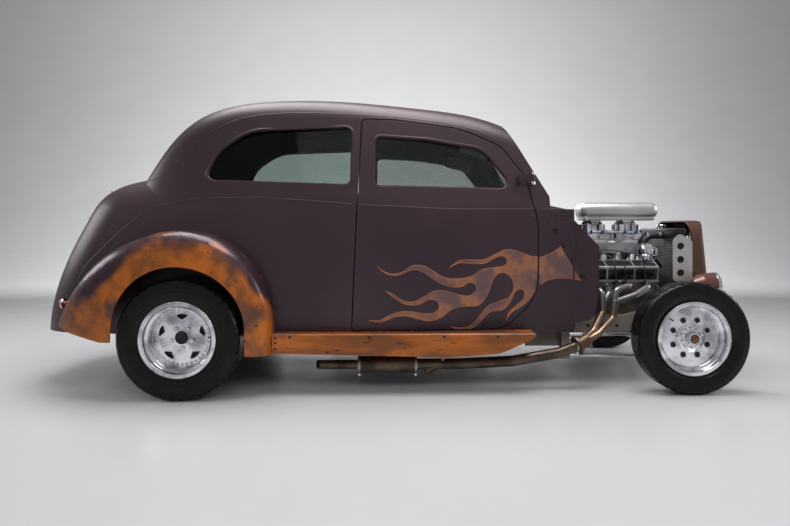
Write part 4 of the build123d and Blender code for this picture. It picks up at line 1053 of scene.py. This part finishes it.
def addEngineDress():
    e = engineDress
    low, high, top, panels = e["coverLow"], e["coverHigh"], e["coverTop"], e["panels"]
    dark = [facePlate(low, high, panel, (0.16, 0.86), 2.5, 2.0) for panel in panels]
    dark += [facePlate(high, top, panel, (0.14, 0.78), 2.5, 2.0) for panel in panels]
    dressPair(gather(dark), "valve_cover_panels", coverPanel)
    bars = [facePlate(low, high, e["coverEnds"], (0.0, 0.08), 5, 1.5),
            facePlate(low, high, e["coverEnds"], (0.92, 1.0), 3, 1.2)]
    for before, after in zip(panels, panels[1:]):
        middle = (before[1] + after[0]) / 2
        bars.append(facePlate(low, high, (middle - 3, middle + 3), (0.08, 0.92), 3.5, 1.2))
    dressPair(gather(bars), "valve_cover_frames", castAluminium)
    heads = [lay(roundBolt(6, 8), (x, low[0] - 5, low[1] + 4), outboard) for x in e["coverBolts"]]
    dressPair(gather(heads), "valve_cover_bolts", chrome)
    flanges, studs = [], []
    for x, z in e["ports"]:
        side = e["portSide"] - 1
        flange = turnPiece([(20.5, 0), (30, 0), (33, 1.5), (33, 8), (31, 10), (22, 10), (21, 14), (20.4, 14)],
                           28, True)
        flanges.append(lay(flange, (x, side, z), outboard))
        for shift in (-30, 30):
            ear = turnPiece([(0.5, 0), (12, 0), (12, 8), (11, 9.5), (0.5, 9.5)], 20)
            flanges.append(lay(ear, (x + shift, side, z), outboard))
            studs.append(lay(roundBolt(6.5, 8), (x + shift, side - 9, z), outboard))
    dressPair(gather(flanges), "header_flanges", bareSteel)
    dressPair(gather(studs), "header_studs", boltBlack)
    wires = []
    for x in e["plugs"]:
        boot = turnPiece([(10, 0), (10, 20), (8, 24), (8, 44), (5, 48), (4.5, 52)], 16)
        wires.append(lay(boot, (x, -322, 588), (0, -0.8, 0.25)))
        wires.append(tube([(x, -362, 600), (x - 3, -372, 640), (x - 8, -366, 700), (x - 20, -320, 752),
                           (x - 50, -220, 778)] + e["distributor"], 4.0, steps=6, rounds=2))
    dressPair(gather(wires), "spark_plug_wires", hoseRubber)
    print("engine dress done")


# Carburettors: bowls, links, fittings and hose, with the rounded air scoop above
carbDress = {"places": (1372.5, 1597.5), "bowlShift": 68, "logSide": -92.0, "logHeight": 908.0,
             "hose": [(1312, -92, 908), (1285, -94, 904), (1262, -110, 870), (1250, -150, 800),
                      (1240, -230, 760)],
             "hoodLow": (1277, -104, 998), "hoodHigh": (1793, 104, 1105.5), "hoodRounding": 48,
             "mouthLip": 5.0, "mouthDepth": 80, "baseLow": (1300, -90, 986.5), "baseHigh": (1762, 90, 1012)}


def addScoop():
    c = carbDress
    hood = block(c["hoodLow"], c["hoodHigh"], c["hoodRounding"], 8)
    pickFaces(hood, lambda centre, normal: normal.x > 0.8)
    bpy.ops.mesh.inset(thickness=c["mouthLip"] * mm)
    extrude(-c["mouthDepth"] * mm, 0, 0)
    toObject()
    scoop = gather([hood, block(c["baseLow"], c["baseHigh"], 5, 3)])
    cleanUp(scoop)
    dress(scoop, "rounded_air_scoop", satinAluminium, angle=50)
    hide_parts("air_scoop")


def addCarbDress():
    c = carbDress
    side, height = c["logSide"], c["logHeight"]
    bowls, rings, rods, fittings, screws = [], [], [], [], []
    for x in c["places"]:
        for sign in (-1, 1):
            middle = x + sign * c["bowlShift"]
            bowls.append(block((middle - 24, -60, 866), (middle + 24, 60, 922), 5, 3))
            screws += [lay(roundBolt(4, 5), (middle + sign * 23.5, y, z), (sign, 0, 0))
                       for y in (-40, 40) for z in (874, 914)]
            screws.append(lay(roundBolt(7, 9), (middle, -59, 894), outboard))
            fitting = turnPiece([(6, 0), (9, 2), (9, 16), (7, 18), (7, 24)], 12)
            fittings.append(lay(fitting, (x + sign * 38, side + 4, height - 2), (0, 1, -0.4)))
            fittings.append(lay(hexNut(20, 10), (x + sign * 38, side - 13, height), (0, 1, 0)))
        bowls.append(block((x - 62, -66, 846), (x + 62, 66, 862), 3, 2))
        ring = turnPiece([(60, 0), (66, 0), (68, 3), (68, 12), (64, 15), (60, 15)], 40, True)
        rings.append(lay(ring, (x, 0, 960)))
        rings.append(lay(turnPiece([(50, 0), (58, 0), (60, 4), (60, 10), (50, 10)], 40, True), (x, 0, 928)))
        rods.append(tube([(x - 50, -78, 858), (x - 20, -84, 872), (x + 24, -84, 872), (x + 52, -80, 856)],
                         2.6, (0, 3), steps=4, rounds=2))
        disc = turnPiece([(0.5, 0), (15, 0), (16, 2), (15, 4), (0.5, 4)], 20)
        rods.append(lay(disc, (x + 24, -76, 868), outboard))
        rods.append(tube([(x + 24, -82, 856), (x + 26, -84, 884), (x + 12, -84, 898)], 3.4, (0, 1, 2),
                         steps=2, rounds=2))
    rods.append(tube([(x, -84, 862) for x in (1300, 1500, 1655)], 3.2, (0, 1, 2), steps=2, rounds=2))
    for name, parts, finish in (("carb_bowls", bowls, castAluminium), ("carb_rings", rings, chrome),
                                ("carb_screws", screws, boltBlack), ("throttle_links", rods, chrome),
                                ("fuel_fittings", fittings, blueFitting)):
        dressPair(gather(parts), name, finish)
    dressPair(tube(c["hose"], 6.5, (0,), steps=8, rounds=2), "fuel_hose", hoseRubber)
    addScoop()
    print("carburettor dress done")


# Front of the engine: alternator, hose clamps, radiator tank and side plates
frontDress = {"alternator": (1622, -188, 778), "hoseEnds": [(1790, 885), (1705, 885)],
              "hoseLow": (1686.5, -100, 718),
              "earBoxes": [((1640, -196, 716), (1652, -180, 724), 1, 1),
                           ((1640, -262, 716), (1652, -178, 734), 2, 2)],
              "tankLow": (1812, -270, 872), "tankHigh": (1888, 270, 934), "plateInside": 267.4,
              "plateProud": 0.6}


def hoseClamp(place, toward=(0, 0, 1)):
    return lay(turnPiece([(21.4, -6), (23.4, -6), (24, 0), (23.4, 6), (21.4, 6)], 28, True), place, toward)


def addFrontDress():
    f = frontDress
    body = turnPiece([(20, 0), (50, 2), (56, 8), (56, 22), (60, 24), (60, 34), (56, 36), (56, 50), (60, 52),
                      (60, 62), (54, 66), (40, 76), (16, 78), (14, 84), (0.5, 84)], 40)
    lay(body, f["alternator"], (1, 0, 0))
    dress(gather([body] + [block(*box) for box in f["earBoxes"]]), "alternator", polished)
    clamps = [hoseClamp(f["hoseLow"])]
    for x, z in f["hoseEnds"]:
        clamps += [hoseClamp((x, -100, z), (1, 0, 0)),
                   block((x - 5, -128, z - 4), (x + 5, -120, z + 12), 1, 1)]
    dress(gather(clamps), "hose_clamps", chrome)
    dress(block(f["tankLow"], f["tankHigh"], 12, 4), "radiator_top_tank", blackSteel)
    plates = copyOf("radiator")
    pickFaces(plates, lambda centre, normal: abs(centre.y) < f["plateInside"] * mm)
    bpy.ops.mesh.delete(type="FACE")
    lift(f["plateProud"])
    dress(plates, "radiator_side_plates", satinAluminium, angle=10)
    print("front dress done")


# Exhaust clamps: X, Y, Z and the pipe's radius
exhaustClamps = [(1082, -604, 251, 34), (300, -609, 196, 31), (146, -609, 149, 50), (-178, -606, 149, 50)]


def addPipeDress():
    bands, nuts = [], []
    for x, y, z, radius in exhaustClamps:
        band = turnPiece([(radius - 3, -8), (radius + 1, -8), (radius + 2.5, -4), (radius + 2.5, 4),
                          (radius + 1, 8), (radius - 3, 8)], 32, True)
        bands.append(lay(band, (x, y, z), (1, 0, 0)))
        bands.append(block((x - 9, y - 6, z - radius - 12), (x + 9, y + 6, z - radius + 2), 1.5, 2))
        nuts.append(lay(hexNut(12, 8), (x, y - 6, z - radius - 6), outboard))
    dressPair(gather(bands), "exhaust_clamps", bareSteel)
    dressPair(gather(nuts), "exhaust_clamp_nuts", chrome)
    print("pipe dress done")


# Seats: pads that swell, with piping and sewn lines, on black boxes
pads = {
    "front_seat_cushion": {"low": (-96, -486, 478), "high": (322, 486, 600), "lean": 0, "foot": (0, 0, 0)},
    "front_seat_back": {"low": (-92, -484, 8), "high": (-12, 484, 496), "lean": -13, "foot": (-34, 0, 592)},
    "rear_seat_cushion": {"low": (-1284, -474, 598), "high": (-694, 474, 712), "lean": 0, "foot": (0, 0, 0)},
    "rear_seat_back": {"low": (-82, -472, 8), "high": (-12, 472, 392), "lean": -16, "foot": (-1092, 0, 704)},
}
padShape = {"edge": 34.0, "voxel": 9.0, "pressure": 4.0, "travel": 12.0, "moments": 20, "pleat": 88.0,
            "seam": 2.2, "seamSink": 0.4, "piping": 4.0, "pipingIn": 20, "fill": 0.6}
seatBoxes = [((-90, -476, 404), (310, 476, 476)), ((-1280, -464, 524), (-700, 464, 596))]


def swell(piece):
    before = [point.co.copy() for point in piece.data.vertices]
    pick(piece)
    cloth = piece.modifiers.new("Swell", "CLOTH")
    cloth.settings.use_pressure = True
    cloth.settings.uniform_pressure_force = padShape["pressure"]
    cloth.settings.effector_weights.gravity = 0
    for moment in range(1, padShape["moments"] + 1):
        bpy.context.scene.frame_set(moment)
    bpy.ops.object.modifier_apply(modifier=cloth.name)
    bpy.context.scene.frame_set(1)
    for point, start in zip(piece.data.vertices, before):
        step = point.co - start
        if step.length > padShape["travel"] * mm:
            point.co = start + step.normalized() * padShape["travel"] * mm


def overPad(low, high, upright, y, above, nearEnd, farEnd):  # three spots over a pad's face, before it leans
    if upright:
        return [(high[0] + above, y, z) for z in (low[2] + nearEnd, (low[2] + high[2]) / 2, high[2] - farEnd)]
    return [(x, y, high[2] + above) for x in (low[0] + nearEnd, (low[0] + high[0]) / 2, high[0] - farEnd)]


def sewnLine(row, pad, upright):
    line(row, (), False, 16)
    seam = asMesh()
    useModifier(seam, "SHRINKWRAP", target=pad, wrap_method="PROJECT", offset=-padShape["seamSink"] * mm,
                use_project_x=upright, use_project_z=not upright, use_positive_direction=False,
                use_negative_direction=True)
    return asTube(seam, padShape["seam"], 1)


def addSeats():
    cushions = []
    for name, pad in pads.items():
        low, high, upright = pad["low"], pad["high"], pad["lean"] != 0
        piece = block(low, high, padShape["edge"], 4)
        useModifier(piece, "REMESH", mode="VOXEL", voxel_size=padShape["voxel"] * mm)
        swell(piece)
        count = int((high[1] - low[1]) / padShape["pleat"])
        gap = (high[1] - low[1]) / count
        near = 30 if upright else 40
        rows = [overPad(low, high, upright, low[1] + gap * i, 60, near, 30) for i in range(1, count)]
        seams = [sewnLine(row, piece, upright) for row in rows]
        for y in (low[1] + padShape["pipingIn"], high[1] - padShape["pipingIn"]):
            row = overPad(low, high, upright, y, -4, 34, 34)
            seams.append(tube(row, padShape["piping"], steps=6, rounds=2))
        seams = gather(seams)
        for part in (piece, seams):
            part.data.transform(moved(*pad["foot"]) @ Matrix.Rotation(math.radians(pad["lean"]), 4, "Y"))
        dress(piece, name, seatCloth, "car", 60)
        dress(seams, name + "_seams", seatPiping, "car", 60)
        cushions.append(piece)
    for cushion in cushions:
        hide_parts("seats")
    dress(gather([block(low, high, 6, 2) for low, high in seatBoxes]), "seat_boxes", blackPlastic)
    print("seats done")


# Cabin: gauges, gear lever, visors and mirror
cabin = {"gauges": [(330, 985, 40), (235, 975, 26), (425, 975, 26), (-330, 980, 34), (0, 985, 30)],
         "dashFace": 813.0, "lever": [(560, 0, 470), (545, 0, 600), (500, 10, 760)],
         "visorHalf": (96, 5, 44), "visorPlace": (520, -440, 1412), "visorLean": 14,
         "visorArm": [(440, -440, 1462), (600, -440, 1436), (660, -425, 1462), (700, -400, 1486)],
         "mirrorLow": (690, -105, 1388), "mirrorHigh": (702, 105, 1440),
         "mirrorRim": 4, "mirrorSink": 2, "mirrorPost": [(700, 0, 1430), (716, 0, 1452), (722, 0, 1478)]}


def addCabin():
    c = cabin
    rims, faces = [], []
    for y, z, radius in c["gauges"]:
        ring = turnPiece([(radius - 4, 0), (radius, 0), (radius + 2, 4), (radius, 8), (radius - 3, 8)], 36,
                         True)
        rims.append(lay(ring, (c["dashFace"], y, z), (-1, 0, 0)))
        dial = turnPiece([(radius - 2, 2), (radius * 0.6, 1.6), (3, 1.4), (2.6, 4), (0.4, 4)], 36)
        faces.append(lay(dial, (c["dashFace"], y, z), (-1, 0, 0)))
    dress(gather(rims), "gauge_rims", chrome)
    dress(gather(faces), "gauge_faces", blackPlastic)
    dress(tube(c["lever"], 8, steps=8), "gear_lever", chrome)
    flap = block([-size for size in c["visorHalf"]], c["visorHalf"], 4, 3)
    flap.data.transform(moved(*c["visorPlace"]) @ Matrix.Rotation(math.radians(c["visorLean"]), 4, "Y"))
    dressPair(flap, "sun_visor", visorVinyl)
    dressPair(tube(c["visorArm"], 4, (0, 1), steps=4, rounds=2), "sun_visor_arm", chrome)
    mirror = block(c["mirrorLow"], c["mirrorHigh"], 5, 3)
    pickFaces(mirror, lambda centre, normal: normal.x < -0.9)
    bpy.ops.mesh.inset(thickness=c["mirrorRim"] * mm, depth=-c["mirrorSink"] * mm)
    toObject()
    post = tube(c["mirrorPost"], 5, steps=4, rounds=2)
    dress(gather([mirror, post]), "rear_view_mirror", blackPlastic)
    print("cabin done")


# Frame side plate ahead of the rocker, frame bolts and the folds low on the cowl
frameDress = {"plateLow": (828, -392, 212), "plateHigh": (1046, -381, 300), "taper": 0.55,
              "taperAt": (828, -386, 300),
              "bolts": (850, 930, 1010, 1130, 1220, 1310, 1400), "railSide": -381, "boltHeight": 335,
              "cowlFold": [(915, 352), (960, 392), (1010, 436), (1074, 490)],
              "bayFold": [(1091, -525, 504), (1150, -525, 546), (1208, -525, 578)]}


def addFrameDress():
    f = frameDress
    plate = block(f["plateLow"], f["plateHigh"], 3, 2)
    pickFaces(plate, lambda centre, normal: normal.x < -0.9)
    bpy.ops.transform.resize(value=(1, 1, f["taper"]), center_override=Vector(f["taperAt"]) * mm)
    toObject()
    dressPair(plate, "frame_side_plate", railPaint)
    heads = [lay(roundBolt(8, 7), (x, f["railSide"], f["boltHeight"]), outboard) for x in f["bolts"]]
    dressPair(gather(heads), "frame_bolts", boltBlack)
    fold = bead(f["cowlFold"], "body_shell", 4.0, 2.6, steps=4)
    low = tube(f["bayFold"], 3.4, steps=4, rounds=2)
    dressPair(gather([fold, low]), "cowl_fold", plum)
    print("frame dress done")


addMouldings()
addScreenRubbers()
addFlames()
addWheels()
addBodyTrim()
addCowlStrip()
addTurnedTrim()
addEngineDress()
addCarbDress()
addFrontDress()
addPipeDress()
addSeats()
addCabin()
addFrameDress()
for skin in skins.values():
    bpy.data.objects.remove(skin)

# Camera and studio
cameraPlace = {"place": (-39.5, -4167.0, 929.0), "turn": 1.07, "focal": 618.0, "horizon": 34.0, "width": 790}
studio = {"floor": (176, 176, 178), "backdrop": (228, 228, 230), "world": 0.5, "seen": 0.9,
          "size": 60, "shift": -16, "wall": 22, "cove": 7.0}  # the lengths here are in metres
lamps = {  # place, size, power, what it is aimed at and whether it shows in reflections
    "overheadLamp": ((-200, -400, 4200), (5200, 2200), 300.0, (0, 0, 700), True),
    "rightLamp": ((600, -4600, 3000), (4200, 1500), 90.0, (0, 0, 700), False),
    "leftLamp": ((-200, 4600, 2800), (4200, 1600), 90.0, (0, 0, 700), True),
    "frontLamp": ((5200, 0, 2200), (2600, 1600), 60.0, (0, 0, 700), True),
    "backdropLamp": ((0, 5200, 4200), (12000, 2500), 1500.0, (0, 14000, 1500), True),
    "rearLamp": ((-5400, 0, 2200), (2600, 1600), 60.0, (0, 0, 700), True),
}


def addCamera():
    c = cameraPlace
    data = bpy.data.cameras.new("studioCamera")
    camera = bpy.data.objects.new("studioCamera", data)
    bpy.context.scene.collection.objects.link(camera)
    camera.location = Vector(c["place"]) * mm
    camera.rotation_euler = (math.radians(90), 0, math.radians(-c["turn"]))
    data.sensor_width = 36.0
    data.lens = 36.0 * c["focal"] / c["width"]
    data.shift_y = -c["horizon"] / c["width"]
    data.clip_end = 200.0
    bpy.context.scene.camera = camera


def addLamps():
    for name, (place, size, power, aim, mirrored) in lamps.items():
        data = bpy.data.lights.new(name, "AREA")
        data.shape = "RECTANGLE"
        data.size, data.size_y = size[0] * mm, size[1] * mm
        data.energy = power
        lamp = bpy.data.objects.new(name, data)
        bpy.context.scene.collection.objects.link(lamp)
        lamp.location = Vector(place) * mm
        lamp.visible_glossy = mirrored
        lamp.rotation_euler = (Vector(aim) - Vector(place)).to_track_quat("-Z", "Y").to_euler()


def pickEdges(piece, wanted):  # leaves the piece in edit mode with the edges picked whose ends are all wanted
    toEdit()
    bpy.ops.mesh.select_mode(type="EDGE")
    bpy.ops.mesh.select_all(action="DESELECT")
    toObject()
    for edge in piece.data.edges:
        edge.select = all(wanted(piece.data.vertices[i].co) for i in edge.vertices)
    toEdit()


def addFloor():  # a plane with its far edge drawn up into a wall
    dropAll()
    bpy.ops.mesh.primitive_plane_add(size=studio["size"], location=(0, studio["shift"], 0))
    floor = bpy.context.object
    bpy.ops.object.transform_apply(location=True, rotation=True, scale=True)
    pickEdges(floor, lambda spot: spot.y > 0)
    extrude(0, 0, studio["wall"])
    pickEdges(floor, lambda spot: spot.y > 0 and spot.z < 1)
    bpy.ops.mesh.bevel(offset=studio["cove"], segments=24, affect="EDGES")
    bpy.ops.mesh.select_all(action="SELECT")
    bpy.ops.mesh.normals_make_consistent(inside=True)
    toObject()
    bpy.ops.object.shade_smooth()
    floor.name = "studioFloor"
    material, tree, bsdf, where = startMaterial("studioFloorPaint")
    tone = noise(tree, where.outputs["Object"], 1.5, 5.0)
    shade = [c - 10 for c in studio["floor"]]
    tree.links.new(mixColours(tree, tone, tint(*studio["floor"]), tint(*shade)), bsdf.inputs["Base Color"])
    tree.links.new(ramp(tree, tone, 0.3, 0.7, 0.28, 0.42), bsdf.inputs["Roughness"])
    floor.data.materials.append(material)


def addWorld():  # soft light on the object; camera and window rays see the backdrop
    world = bpy.data.worlds.new("studioAir")
    world.use_nodes = True
    tree = world.node_tree
    air = tree.nodes["Background"]
    air.inputs["Color"].default_value = tint(*studio["backdrop"])
    air.inputs["Strength"].default_value = studio["world"]
    seen = add(tree, "ShaderNodeBackground", [("Color", tint(*studio["backdrop"])),
                                              ("Strength", studio["seen"])])
    path = add(tree, "ShaderNodeLightPath")
    both = maths(tree, "MAXIMUM", path.outputs["Is Camera Ray"], path.outputs["Is Transmission Ray"])
    choose = add(tree, "ShaderNodeMixShader", [(0, both), (1, air.outputs[0]), (2, seen.outputs[0])])
    tree.links.new(choose.outputs[0], tree.nodes["World Output"].inputs["Surface"])
    bpy.context.scene.world = world


addCamera()
addFloor()
addWorld()
addLamps()
bpy.context.scene.view_settings.view_transform = "Standard"
print("camera and studio ready")
